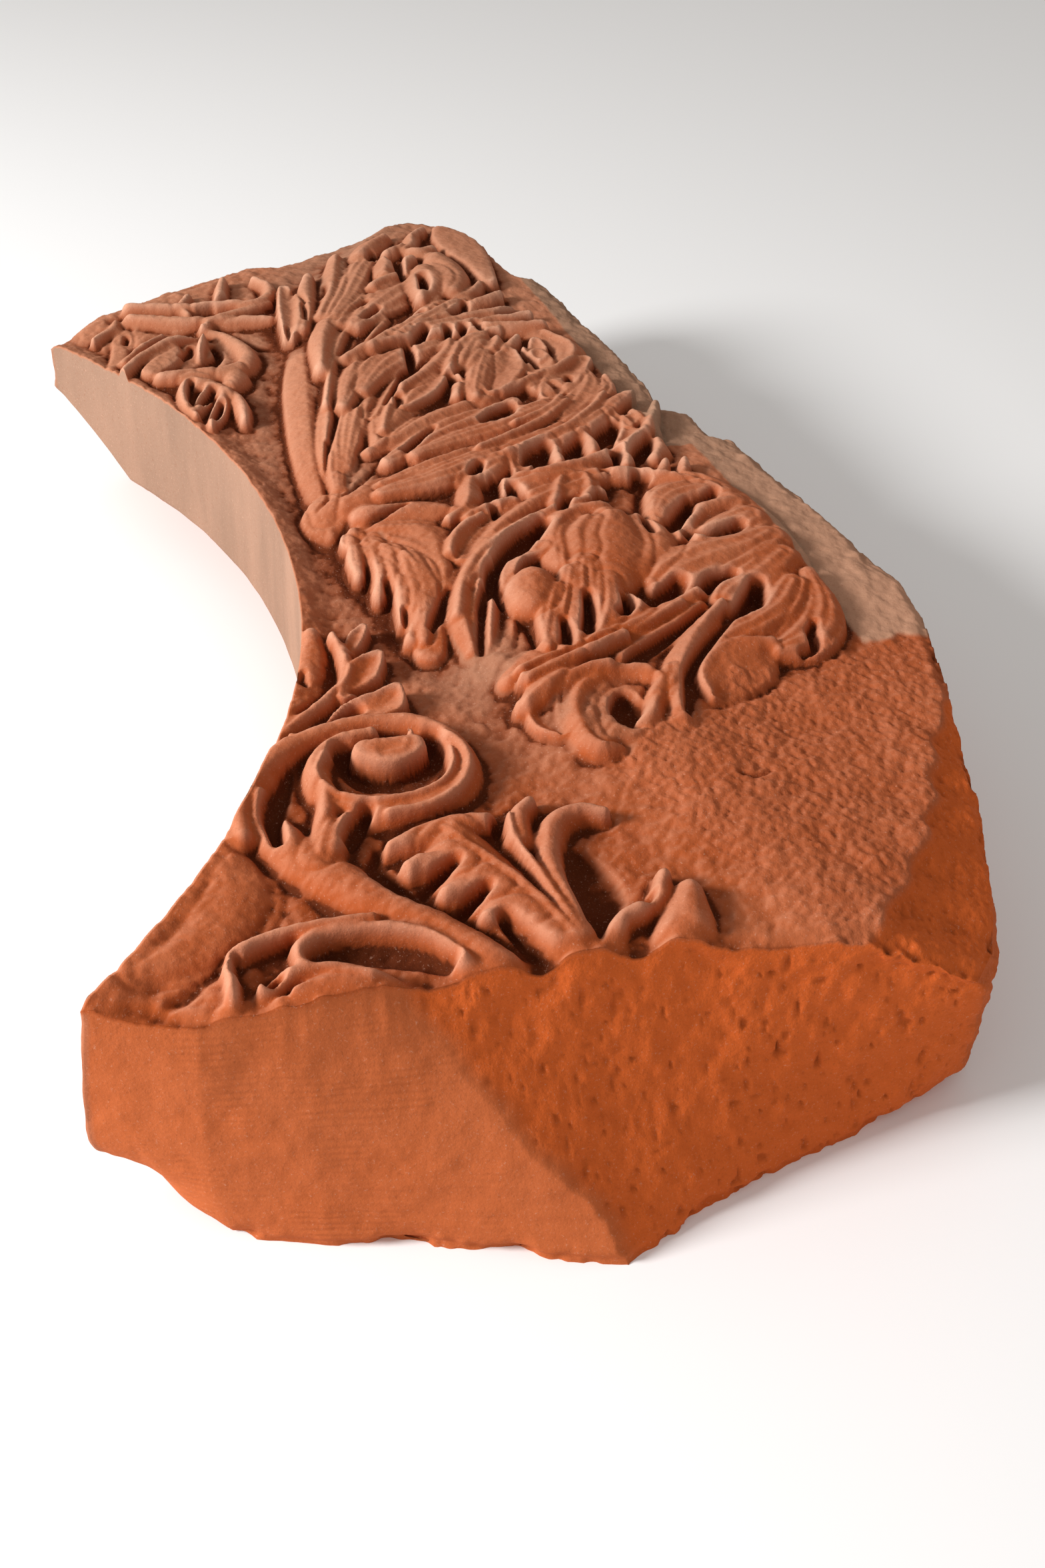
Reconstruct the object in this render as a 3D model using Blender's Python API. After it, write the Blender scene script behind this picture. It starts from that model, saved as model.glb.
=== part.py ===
"""Arch keystone: one carved sandstone block, lying on its back with the carving up.

Metres, +Z up. The block is drawn about the centre of the arch, +X along the wall and +Y outward
from the opening, and its carving is laid out in shares of the opening's radius. It is moved at the
end so that the middle of its underside is at the origin.
"""
import math

import bmesh
import bpy
import numpy as np

# Driving sizes, in metres
OPENING_RADIUS = 0.80     # curve of the soffit
SOFFIT_DEPTH = 0.14       # dressed height of the soffit
BLOCK_DEPTH = 0.218       # from the soffit's upper edge down to the underside
FAR_SET_IN = 0.115        # how far the rough back leans in below the soffit, at the far end
NEAR_SET_IN = 0.008       # and at the near end
END_SET_IN = 0.030        # how far the far end and the outer side lean in
NEAR_BULGE = 0.105        # how far the near end swells out at its ridge
EDGE_DEPTH = 0.035        # strip of the sides just below the face
FAR_LIFT = 0.018          # how much higher the carving stands at the far end
NEAR_LIFT = 0.022         # how much higher the soffit's upper edge is at the near end
HOLLOW_DEPTH = 0.024      # valley between the inner panels and the fan
FAN_SWELL = 0.022         # rise of the fan's ground above the soffit's edge
FAN_SINK = 0.024          # and how deep its middle is cut back behind the leaves
FILLET_RISE = 0.014       # smooth band along the outer edge, above the soffit's edge
STONE_COLOUR = (0.52, 0.235, 0.125, 1.0)
STONE_ROUGHNESS = 0.9

# Facets
CELLS_ALONG = 250
CELLS_ACROSS = 130
FACETS = 9000
FLAT_WITHIN = 0.001

# The carving's layout is read from above one spot, on a datum plane, in shares of the radius
SPOT = np.array([1.665, 0.682, 1.017])
DATUM = 0.03

# The near end swells to a ridge: shares of the swell along that end, from the soffit outward
BULGE_AT = [0.0, 0.18, 0.31, 0.42, 0.55, 0.77, 0.92, 1.0]
BULGE_SHARES = [-0.19, 0.14, 0.38, 0.67, 1.0, 0.40, 0.0, -0.30]
CORNER_DRIFT = 0.050      # how far the outer near corner runs on below the face
BROKEN_TIP = 0.10         # share of the soffit's length where its far lower corner is gone

# Ends of the soffit's curve, as angles from the crown
FAR_ANGLE = math.radians(-38.7)
NEAR_ANGLE = math.radians(48.0)

# Edges of the face seen from above, in shares of the radius
FAR_EDGE = [(-0.625, 0.780), (-0.71, 0.875), (-0.765, 0.97), (-0.805, 1.05), (-0.845, 1.12), (-0.84, 1.17),
            (-0.87, 1.23), (-0.915, 1.31), (-0.94, 1.38), (-0.94, 1.43), (-0.905, 1.485)]
NEAR_EDGE = [(0.743, 0.669), (0.775, 0.76), (0.787, 0.85), (0.79, 0.95), (0.797, 1.05), (0.80, 1.13),
             (0.81, 1.21), (0.825, 1.30), (0.85, 1.40), (0.872, 1.49)]
OUTER_EDGE = [(-0.905, 1.485), (-0.81, 1.52), (-0.73, 1.525), (-0.67, 1.54), (-0.655, 1.57), (-0.58, 1.585),
              (-0.48, 1.60), (-0.38, 1.615), (-0.28, 1.615), (-0.215, 1.605), (-0.19, 1.64), (-0.12, 1.645),
              (-0.10, 1.67), (0.0, 1.685), (0.10, 1.70), (0.20, 1.707), (0.29, 1.72), (0.37, 1.708),
              (0.465, 1.677), (0.568, 1.643), (0.67, 1.610), (0.774, 1.565), (0.838, 1.53), (0.872, 1.49)]

# Carved strokes. Each is a height, a thickness, a section and points of (x, y, half width), in
# shares of the radius: first the inner panel beside the near end, then the one beside the far end.
NEAR_PANEL = [
    (0.03, 0.05, "round", [(0.6, 0.872, 0.008), (0.545, 0.857, 0.013), (0.475, 0.885, 0.016),
        (0.43, 0.945, 0.018), (0.425, 1.01, 0.02), (0.445, 1.065, 0.022), (0.505, 1.083, 0.022),
        (0.555, 1.035, 0.022), (0.56, 0.965, 0.022), (0.53, 0.925, 0.018), (0.485, 0.925, 0.014),
        (0.455, 0.965, 0.012)]),
    (0.045, 0.06, "ball", [(0.478, 1.008, 0.034)]),
    (0.02, 0.04, "leaf", [(0.312, 1.047, 0.008), (0.33, 1.02, 0.022), (0.37, 0.985, 0.018),
        (0.42, 0.915, 0.006)]),
    (0.024, 0.04, "leaf", [(0.372, 1.05, 0.008), (0.39, 1.02, 0.022), (0.405, 0.97, 0.014),
        (0.425, 0.92, 0.006)]),
    (0.01, 0.03, "round", [(0.26, 0.992, 0.01), (0.33, 0.99, 0.014), (0.39, 0.935, 0.012),
        (0.47, 0.865, 0.012)]),
    (0.034, 0.05, "leaf", [(0.588, 1.115, 0.008), (0.63, 1.095, 0.022), (0.7, 1.095, 0.016),
        (0.81, 1.103, 0.008)]),
    (0.034, 0.05, "leaf", [(0.592, 1.055, 0.012), (0.64, 1.06, 0.024), (0.7, 1.075, 0.022),
        (0.81, 1.095, 0.01)]),
    (0.034, 0.05, "leaf", [(0.605, 0.985, 0.014), (0.63, 1.01, 0.026), (0.68, 1.05, 0.022),
        (0.76, 1.08, 0.014)]),
    (0.032, 0.05, "leaf", [(0.652, 0.985, 0.006), (0.665, 1.01, 0.014), (0.7, 1.05, 0.016)]),
    (0.032, 0.05, "leaf", [(0.693, 1.0, 0.01), (0.7, 1.025, 0.016), (0.74, 1.06, 0.016)]),
    (0.036, 0.05, "round", [(0.632, 1.195, 0.006), (0.608, 1.165, 0.012), (0.63, 1.125, 0.014),
        (0.7, 1.108, 0.01)]),
    (0.03, 0.05, "leaf", [(0.725, 1.215, 0.01), (0.75, 1.195, 0.014), (0.765, 1.155, 0.01),
        (0.8, 1.13, 0.01)]),
    (0.014, 0.04, "round", [(0.54, 0.925, 0.008), (0.62, 0.925, 0.014), (0.69, 0.965, 0.016),
        (0.79, 1.04, 0.012)]),
    (0.022, 0.05, "round", [(0.8, 1.005, 0.008), (0.755, 1.0, 0.012), (0.722, 0.95, 0.012),
        (0.718, 0.89, 0.01), (0.745, 0.862, 0.01)]),
    (0.024, 0.05, "leaf", [(0.8, 0.945, 0.006), (0.77, 0.905, 0.016), (0.76, 0.86, 0.012),
        (0.775, 0.83, 0.006)]),
    (0.014, 0.04, "round", [(0.7, 0.95, 0.008), (0.702, 0.86, 0.01), (0.712, 0.8, 0.012),
        (0.78, 0.79, 0.01)]),
    (0.012, 0.04, "round", [(0.706, 0.8, 0.008), (0.722, 0.75, 0.01), (0.752, 0.715, 0.012)]),
]
FAR_PANEL = [
    (0.022, 0.05, "leaf", [(-0.275, 1.025, 0.006), (-0.33, 1.012, 0.014), (-0.385, 0.99, 0.022),
        (-0.4, 0.955, 0.02), (-0.35, 0.94, 0.01)]),
    (0.02, 0.05, "leaf", [(-0.345, 0.995, 0.01), (-0.31, 0.975, 0.012), (-0.27, 0.965, 0.006)]),
    (0.026, 0.05, "ball", [(-0.415, 1.02, 0.028)]),
    (0.022, 0.05, "leaf", [(-0.565, 0.985, 0.008), (-0.545, 1.025, 0.016), (-0.49, 1.05, 0.018),
        (-0.445, 1.02, 0.02), (-0.43, 0.96, 0.016), (-0.41, 0.925, 0.008)]),
    (0.018, 0.05, "round", [(-0.575, 0.985, 0.01), (-0.545, 0.945, 0.012), (-0.49, 0.89, 0.012),
        (-0.44, 0.865, 0.006)]),
    (0.024, 0.05, "round", [(-0.635, 1.115, 0.012), (-0.612, 1.05, 0.014), (-0.612, 0.98, 0.016),
        (-0.64, 0.92, 0.014)]),
    (0.026, 0.05, "round", [(-0.72, 1.12, 0.012), (-0.675, 1.09, 0.014), (-0.672, 1.02, 0.014),
        (-0.69, 0.97, 0.012)]),
    (0.018, 0.05, "leaf", [(-0.745, 1.065, 0.01), (-0.69, 1.055, 0.012)]),
    (0.004, 0.04, "leaf", [(-0.6, 0.85, 0.016), (-0.54, 0.86, 0.022), (-0.47, 0.86, 0.01)]),
]
# The fan: the middle leaves, then the near scroll, then the far scroll
FAN_MIDDLE = [
    (0.03, 0.05, "ball", [(-0.005, 1.062, 0.045)]),
    (0.05, 0.06, "ribbed", [(-0.01, 1.08, 0.02), (-0.09, 1.22, 0.04), (-0.17, 1.37, 0.048),
        (-0.25, 1.49, 0.052), (-0.29, 1.545, 0.03)]),
    (0.06, 0.07, "round", [(0.0, 1.08, 0.016), (-0.03, 1.2, 0.02), (-0.052, 1.33, 0.016),
        (-0.075, 1.43, 0.014), (-0.12, 1.52, 0.014), (-0.19, 1.59, 0.008)]),
    (0.036, 0.05, "ribbed", [(0.02, 1.08, 0.02), (0.0, 1.16, 0.034), (-0.035, 1.26, 0.03),
        (-0.09, 1.33, 0.01)]),
    (0.036, 0.05, "leaf", [(-0.1, 1.34, 0.006), (-0.12, 1.42, 0.012), (-0.155, 1.47, 0.012),
        (-0.18, 1.51, 0.01)]),
    (0.034, 0.05, "leaf", [(0.015, 1.3, 0.01), (0.022, 1.255, 0.014), (0.045, 1.215, 0.008)]),
    (0.026, 0.05, "ribbed", [(0.03, 1.08, 0.03), (0.08, 1.13, 0.036), (0.16, 1.16, 0.03),
        (0.26, 1.145, 0.016)]),
    (0.036, 0.05, "leaf", [(0.055, 1.075, 0.01), (0.1, 1.12, 0.016), (0.155, 1.135, 0.022),
        (0.235, 1.12, 0.018), (0.32, 1.095, 0.006)]),
]
NEAR_SCROLL = [
    (0.055, 0.07, "round", [(-0.035, 1.44, 0.01), (-0.01, 1.5, 0.014), (0.03, 1.56, 0.018),
        (0.1, 1.597, 0.02), (0.2, 1.597, 0.02), (0.28, 1.575, 0.018), (0.335, 1.525, 0.016),
        (0.37, 1.46, 0.018), (0.43, 1.4, 0.014)]),
    (0.048, 0.07, "round", [(0.022, 1.45, 0.008), (0.035, 1.38, 0.012), (0.06, 1.31, 0.014),
        (0.1, 1.25, 0.014), (0.16, 1.2, 0.014), (0.24, 1.17, 0.014), (0.33, 1.155, 0.008)]),
    (0.05, 0.06, "leaf", [(0.0, 1.545, 0.01), (0.02, 1.5, 0.02), (0.055, 1.47, 0.01)]),
    (0.052, 0.06, "leaf", [(0.05, 1.57, 0.01), (0.07, 1.51, 0.02), (0.1, 1.465, 0.01)]),
    (0.055, 0.06, "leaf", [(0.09, 1.58, 0.01), (0.12, 1.53, 0.022), (0.15, 1.485, 0.01)]),
    (0.062, 0.07, "ribbed", [(0.15, 1.59, 0.018), (0.185, 1.52, 0.034), (0.21, 1.45, 0.034),
        (0.25, 1.405, 0.014)]),
    (0.055, 0.06, "ribbed", [(0.22, 1.58, 0.018), (0.25, 1.52, 0.024), (0.29, 1.47, 0.02),
        (0.32, 1.46, 0.006)]),
    (0.07, 0.08, "round", [(0.09, 1.455, 0.012), (0.125, 1.44, 0.034), (0.175, 1.395, 0.048),
        (0.235, 1.355, 0.03)]),
    (0.06, 0.07, "leaf", [(0.035, 1.42, 0.01), (0.055, 1.36, 0.018), (0.11, 1.32, 0.014),
        (0.17, 1.3, 0.008)]),
    (0.064, 0.07, "leaf", [(0.07, 1.42, 0.01), (0.1, 1.365, 0.02), (0.17, 1.32, 0.02),
        (0.25, 1.27, 0.014), (0.33, 1.24, 0.006)]),
    (0.06, 0.07, "leaf", [(0.18, 1.36, 0.01), (0.24, 1.32, 0.018), (0.33, 1.285, 0.006)]),
    (0.058, 0.07, "leaf", [(0.22, 1.35, 0.008), (0.27, 1.335, 0.014), (0.33, 1.31, 0.006)]),
    (0.066, 0.08, "ball", [(0.2, 1.268, 0.044)]),
    (0.04, 0.06, "leaf", [(0.14, 1.24, 0.01), (0.2, 1.215, 0.016), (0.27, 1.2, 0.016),
        (0.34, 1.18, 0.008)]),
    (0.056, 0.07, "round", [(0.388, 1.19, 0.01), (0.368, 1.27, 0.015), (0.335, 1.36, 0.015),
        (0.29, 1.44, 0.012), (0.24, 1.49, 0.008)]),
    (0.048, 0.07, "round", [(0.31, 1.47, 0.012), (0.36, 1.41, 0.016), (0.42, 1.365, 0.016),
        (0.48, 1.335, 0.01)]),
    (0.055, 0.07, "leaf", [(0.395, 1.5, 0.01), (0.41, 1.45, 0.03), (0.435, 1.405, 0.018),
        (0.47, 1.38, 0.006)]),
    (0.046, 0.07, "round", [(0.4, 1.31, 0.01), (0.388, 1.27, 0.014), (0.415, 1.23, 0.016),
        (0.465, 1.21, 0.016), (0.53, 1.225, 0.014)]),
    (0.03, 0.06, "round", [(0.395, 1.205, 0.008), (0.44, 1.18, 0.01), (0.5, 1.185, 0.008)]),
]
FAR_SCROLL = [
    (0.04, 0.06, "ribbed", [(-0.04, 1.055, 0.01), (-0.2, 1.075, 0.018), (-0.4, 1.11, 0.03),
        (-0.55, 1.165, 0.034), (-0.65, 1.24, 0.032), (-0.74, 1.31, 0.02), (-0.8, 1.32, 0.01)]),
    (0.052, 0.07, "ribbed", [(-0.06, 1.08, 0.006), (-0.2, 1.1, 0.012), (-0.4, 1.17, 0.018),
        (-0.55, 1.25, 0.024), (-0.64, 1.31, 0.034), (-0.7, 1.355, 0.016)]),
    (0.05, 0.06, "leaf", [(-0.12, 1.105, 0.006), (-0.28, 1.155, 0.014), (-0.42, 1.215, 0.018),
        (-0.52, 1.265, 0.02), (-0.6, 1.29, 0.008)]),
    (0.055, 0.07, "round", [(-0.47, 1.22, 0.01), (-0.52, 1.32, 0.014), (-0.525, 1.42, 0.014),
        (-0.5, 1.49, 0.018), (-0.44, 1.54, 0.02), (-0.38, 1.545, 0.02), (-0.32, 1.5, 0.02),
        (-0.27, 1.44, 0.016), (-0.23, 1.38, 0.012), (-0.19, 1.31, 0.008)]),
    (0.06, 0.07, "leaf", [(-0.47, 1.42, 0.008), (-0.42, 1.37, 0.02), (-0.36, 1.3, 0.018),
        (-0.3, 1.24, 0.01)]),
    (0.064, 0.07, "leaf", [(-0.42, 1.45, 0.01), (-0.36, 1.41, 0.024), (-0.29, 1.37, 0.014)]),
    (0.056, 0.07, "leaf", [(-0.5, 1.37, 0.006), (-0.44, 1.33, 0.018), (-0.36, 1.285, 0.014),
        (-0.28, 1.23, 0.006)]),
    (0.058, 0.07, "leaf", [(-0.43, 1.48, 0.01), (-0.39, 1.475, 0.022), (-0.34, 1.46, 0.01)]),
    (0.046, 0.06, "leaf", [(-0.39, 1.335, 0.006), (-0.345, 1.26, 0.016), (-0.28, 1.2, 0.018),
        (-0.19, 1.175, 0.01)]),
]
SLIM_TIPS = [(-0.67, 1.43), (-0.675, 1.47), (-0.63, 1.50), (-0.595, 1.49), (-0.57, 1.505), (-0.54, 1.505)]
SLIM_ROOT = (-0.49, 1.27)
SLIM_BOW = (0.012, -0.012)
CORNER_LUMPS = [(-0.76, 1.34, .030), (-0.80, 1.40, .030), (-0.74, 1.43, .034), (-0.69, 1.395, .034),
                (-0.86, 1.485, .034), (-0.83, 1.44, .024)]
# Hollows, as (x, y, half length, half width, turn, floor)
HOLLOWS = [
    (0.71, 1.155, 0.075, 0.03, 0.0, -0.03),
    (0.745, 0.935, 0.06, 0.02, 1.3, -0.035),
    (0.735, 0.77, 0.04, 0.014, 1.9, -0.03),
    (0.53, 0.885, 0.06, 0.014, -0.25, -0.035),
    (0.66, 0.97, 0.05, 0.012, 0.3, -0.02),
    (0.725, 1.03, 0.05, 0.01, 0.5, -0.02),
    (-0.515, 1.0, 0.035, 0.018, 0.0, -0.035),
    (-0.58, 0.96, 0.02, 0.03, 0.0, -0.035),
    (-0.71, 1.085, 0.03, 0.012, 0.0, -0.035),
    (0.46, 1.26, 0.04, 0.026, 0.3, -0.02),
    (0.45, 1.195, 0.04, 0.008, -0.2, -0.01),
    (0.1, 1.22, 0.045, 0.022, -0.6, -0.02),
    (0.34, 1.4, 0.09, 0.014, -0.95, -0.02),
    (0.42, 1.4, 0.08, 0.012, -0.75, -0.01),
    (0.12, 1.26, 0.06, 0.012, -0.9, -0.02),
    (-0.11, 1.48, 0.04, 0.028, -0.9, -0.03),
    (-0.085, 1.38, 0.034, 0.02, -1.3, -0.03),
    (-0.2, 1.36, 0.03, 0.03, 0.0, -0.02),
    (-0.06, 1.5, 0.03, 0.02, 0.0, -0.03),
    (0.03, 1.225, 0.04, 0.012, -0.9, -0.02),
    (-0.08, 1.115, 0.05, 0.012, -0.9, -0.01),
    (0.13, 1.08, 0.03, 0.008, -0.5, -0.03),
    (0.18, 1.085, 0.03, 0.007, -0.5, -0.03),
    (0.24, 1.09, 0.03, 0.007, -0.5, -0.03),
    (-0.62, 1.48, 0.03, 0.01, -1.0, -0.01),
    (-0.56, 1.42, 0.045, 0.01, -1.1, -0.01),
    (-0.55, 1.31, 0.02, 0.012, -0.7, -0.01),
    (-0.33, 1.33, 0.07, 0.012, -0.5, 0.0),
    (-0.31, 1.44, 0.05, 0.01, -0.9, 0.0),
    (-0.66, 1.17, 0.05, 0.008, -0.1, -0.01),
]
# The broken patch at the near end of the fan: its inner edge, its height, and where it falls away
BROKEN_EDGE = [(0.43, 1.62), (0.435, 1.53), (0.455, 1.44), (0.48, 1.38), (0.51, 1.33), (0.55, 1.25),
               (0.55, 1.21)]
BROKEN_HEIGHT = 0.012
CHAMFER_START = (0.80, 1.36)
CHAMFER_FALL = 0.55


def smooth(value):
    value = np.clip(value, 0.0, 1.0)
    return value * value * (3.0 - 2.0 * value)


def along(points, shares):
    """Points at the given shares of a polyline's length."""
    points = np.array(points, float)
    steps = np.linalg.norm(np.diff(points[:, :2], axis=0), axis=1)
    travelled = np.concatenate([[0.0], np.cumsum(steps)]) / steps.sum()
    return np.stack([np.interp(shares, travelled, column) for column in points.T], axis=1)


def curve(points, per_span=8):
    """A smooth Catmull-Rom curve through the points."""
    points = np.array(points, float)
    if len(points) < 3:
        return along(points, np.linspace(0.0, 1.0, per_span * 2))
    padded = np.vstack([2 * points[0] - points[1], points, 2 * points[-1] - points[-2]])
    steps = np.linspace(0.0, 1.0, per_span, endpoint=False)[:, None]
    spans = []
    for before, start, end, after in zip(padded, padded[1:], padded[2:], padded[3:]):
        spans.append(0.5 * (2 * start + (end - before) * steps
                            + (2 * before - 5 * start + 4 * end - after) * steps ** 2
                            + (3 * start - before - 3 * end + after) * steps ** 3))
    return np.vstack(spans + [points[-1:]])


def at_height(points, height):
    """Moves points read on the datum plane to where they stand at a height."""
    points = np.array(points, float)
    points[:, :2] = SPOT[:2] + (points[:, :2] - SPOT[:2]) * (SPOT[2] - height) / (SPOT[2] - DATUM)
    return points


def hollow_line(x):
    return 1.045 + np.where(x > 0, 0.31 * np.abs(x) ** 1.6, 0.36 * np.abs(x) ** 3.4)


def fillet_line(x):
    return np.where(x > -0.10, 1.612 - 0.12 * (x - 0.15) ** 2, 1.56 - 0.16 * (x + 0.30) ** 2)


def lift(x, y):
    """The face stands a little higher towards its near end, and on the carving at its far end."""
    near = NEAR_LIFT * smooth((x - 0.10) / 0.45) * smooth((1.50 - y) / 0.30)
    far = FAR_LIFT * smooth((-x - 0.35) / 0.40) * smooth((np.hypot(x, y) - 1.0) / 0.10)
    return (near + far) / OPENING_RADIUS


def ground(x, y):
    """The face before its leaves are raised, in shares of the radius."""
    hollow = -HOLLOW_DEPTH / OPENING_RADIUS
    swell = FAN_SWELL / OPENING_RADIUS
    sunk = FAN_SINK / OPENING_RADIUS
    outward = y - hollow_line(x)
    to_fillet = fillet_line(x) - y
    panel = hollow * smooth((np.hypot(x, y) - 1.0) / 0.04)
    fan = hollow + (swell - hollow) * smooth(outward / 0.12)
    fan -= sunk * smooth((outward - 0.16) / 0.10) * smooth((to_fillet + 0.02) / 0.06)
    face = np.where(outward > 0, fan, panel)
    face = np.where(to_fillet < 0, FILLET_RISE / OPENING_RADIUS, face)
    edge = at_height(BROKEN_EDGE, BROKEN_HEIGHT)[::-1]
    broken = (x > np.interp(y, edge[:, 1], edge[:, 0])) & (outward > 0.05)
    face = np.where(broken, BROKEN_HEIGHT, face)
    beyond = np.clip((x - CHAMFER_START[0]) * 0.8 + (y - CHAMFER_START[1]) * 0.6, 0.0, None)
    chamfered = np.minimum(face, BROKEN_HEIGHT - CHAMFER_FALL * beyond)
    return np.where(outward > 0, chamfered, face) + lift(x, y)


def section(kind, across, ribs=4):
    """Share of the thickness that a stroke keeps at a place across its width."""
    if kind == "leaf":
        return 1.0 - 0.55 * across ** 2 - 0.10 * np.exp(-(across / 0.20) ** 2)
    if kind == "ribbed":
        return 0.94 - 0.45 * across ** 4 + 0.08 * np.cos(ribs * math.pi * across)
    return np.sqrt(np.clip(1.0 - across ** 2, 0.0, 1.0))


def raise_stroke(x, y, face, stroke):
    """Raises one carved stroke out of the face."""
    top, thick, kind, points = stroke
    top += lift(*np.mean(points, axis=0)[:2])
    line = at_height(curve(points) if len(points) > 1 else points, top)
    reach = line[:, 2].max()
    low, high = line[:, :2].min(axis=0) - reach, line[:, :2].max(axis=0) + reach
    near = (x > low[0]) & (x < high[0]) & (y > low[1]) & (y < high[1])
    away = np.hypot(x[near][:, None] - line[:, 0], y[near][:, None] - line[:, 1])
    best = (away / line[:, 2]).argmin(axis=1)
    across = (away / line[:, 2])[np.arange(len(best)), best]
    height = np.where(across < 1.0, top - thick * (1.0 - section(kind, np.minimum(across, 1.0))), -1.0)
    face[near] = np.maximum(face[near], height)


def sink_hollow(x, y, face, hollow):
    centre_x, centre_y, length, width, turn, floor = hollow
    floor += lift(centre_x, centre_y)
    centre = at_height([(centre_x, centre_y)], 0.5 * (floor + DATUM))[0]
    along_x = (x - centre[0]) * math.cos(turn) + (y - centre[1]) * math.sin(turn)
    along_y = (y - centre[1]) * math.cos(turn) - (x - centre[0]) * math.sin(turn)
    reach = np.hypot(along_x / length, along_y / width)
    cut = floor + 0.5 * np.clip(reach - 0.75, 0.0, 1.0) ** 2
    face[:] = np.where(reach < 1.25, np.minimum(face, cut), face)


def carve(x, y):
    """Height of the finished face, in shares of the radius."""
    face = ground(x, y)
    root = np.array(SLIM_ROOT)
    slim = []
    for tip in SLIM_TIPS:
        middle = 0.5 * (root + tip) + SLIM_BOW
        slim.append((0.050, 0.06, "leaf", [(*root, 0.006), (*middle, 0.012), (*tip, 0.007)]))
    lumps = [(0.060, 0.09, "ball", [lump]) for lump in CORNER_LUMPS]
    for stroke in NEAR_PANEL + FAR_PANEL + FAN_MIDDLE + slim + NEAR_SCROLL + FAR_SCROLL + lumps:
        raise_stroke(x, y, face, stroke)
    for hollow in HOLLOWS:
        sink_hollow(x, y, face, hollow)
    return face


def patch(inner, outer, far, near):
    """Fills the four edges with a grid of points, rows from the soffit outward."""
    across = np.linspace(0.0, 1.0, len(inner))[:, None, None]
    out = np.linspace(0.0, 1.0, len(far))[None, :, None]
    sides = (1 - out) * inner[:, None] + out * outer[:, None] + (1 - across) * far[None] + across * near[None]
    corners = ((1 - across) * (1 - out) * far[0] + across * (1 - out) * near[0]
               + (1 - across) * out * far[-1] + across * out * near[-1])
    return sides - corners


def arc(radius, shares):
    angle = FAR_ANGLE + (NEAR_ANGLE - FAR_ANGLE) * shares
    return np.stack([radius * np.sin(angle), radius * np.cos(angle)], axis=1)


def rim(grid):
    """The outline of a grid, once around."""
    return np.vstack([grid[:-1, 0], grid[-1, :-1], grid[:0:-1, -1], grid[0, :0:-1]])


def softened(heights):
    """Heights with the finest steps taken off, which few facets can't follow."""
    for axis in (0, 1, 0, 1):
        ahead, behind = np.roll(heights, 1, axis), np.roll(heights, -1, axis)
        inside = [slice(None), slice(None)]
        inside[axis] = slice(1, -1)
        heights = heights.copy()
        heights[tuple(inside)] = (0.5 * heights + 0.25 * ahead + 0.25 * behind)[tuple(inside)]
    return heights


def rings():
    """The face, and the closed rings that its sides pass through, in metres."""
    run = np.linspace(0.0, 1.0, CELLS_ALONG + 1)
    out = np.linspace(0.0, 1.0, CELLS_ACROSS + 1)
    far, near, outer = along(FAR_EDGE, out), along(NEAR_EDGE, out), along(OUTER_EDGE, run)
    plan = patch(arc(1.0 + 0.0 * run, run), outer, far, near)
    heights = softened(carve(plan[..., 0], plan[..., 1]))
    face = np.dstack([plan, heights]) * OPENING_RADIUS

    def ring(depth, share, set_in):
        """A ring part of the way from the face's edge to the foot of the sides."""
        swell = NEAR_BULGE * np.interp(out, BULGE_AT, BULGE_SHARES) * share
        near_side = near * OPENING_RADIUS + np.stack([swell, CORNER_DRIFT * share * out ** 4], axis=1)
        far_side = far * OPENING_RADIUS + [END_SET_IN * share, 0.0]
        bow = END_SET_IN * share * np.sin(math.pi * run)
        outer_side = outer * OPENING_RADIUS - np.stack([0.0 * run, bow], axis=1)
        outer_side += (1 - run)[:, None] * (far_side[-1] - outer_side[0])
        outer_side += (run ** 4)[:, None] * (near_side[-1] - outer_side[-1])
        inner = arc(1.0 + set_in / OPENING_RADIUS, run) * OPENING_RADIUS
        around = rim(patch(inner, outer_side, far_side, near_side))
        return np.column_stack([around, -np.resize(depth, len(around))])

    count = 2 * (CELLS_ALONG + CELLS_ACROSS)
    broken = np.zeros(count)
    tip = int(CELLS_ALONG * BROKEN_TIP)
    broken[:tip] = np.linspace(1.0, 0.0, tip)
    broken[-tip // 2:] = np.linspace(0.3, 1.0, len(broken[-tip // 2:]))
    soffit_foot = SOFFIT_DEPTH - (SOFFIT_DEPTH - EDGE_DEPTH - 0.02) * broken
    leaned = FAR_SET_IN + (NEAR_SET_IN - FAR_SET_IN) * run
    return face, [ring(EDGE_DEPTH, EDGE_DEPTH / BLOCK_DEPTH, 0.0 * run),
                  ring(soffit_foot, SOFFIT_DEPTH / BLOCK_DEPTH, 0.0 * run),
                  ring(BLOCK_DEPTH, 1.0, leaned)]


def keystone_mesh():
    face, around = rings()
    mesh = bmesh.new()
    grid = [[mesh.verts.new(point) for point in row] for row in face]
    for row, following in zip(grid, grid[1:]):
        for a, b, c, d in zip(row, row[1:], following[1:], following):
            mesh.faces.new((a, d, c, b))
    edge = [row[0] for row in grid[:-1]] + grid[-1][:-1]
    edge += [row[-1] for row in grid[:0:-1]] + grid[0][:0:-1]
    levels = [edge] + [[mesh.verts.new(point) for point in ring] for ring in around]
    for upper, lower in zip(levels, levels[1:]):
        for k, corner in enumerate(upper):
            after = (k + 1) % len(upper)
            mesh.faces.new((corner, lower[k], lower[after], upper[after]))
    mesh.faces.new(levels[-1][::-1])
    bmesh.ops.triangulate(mesh, faces=mesh.faces[:])
    bmesh.ops.recalc_face_normals(mesh, faces=mesh.faces[:])
    data = bpy.data.meshes.new("draft")
    mesh.to_mesh(data)
    mesh.free()
    return data


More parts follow.
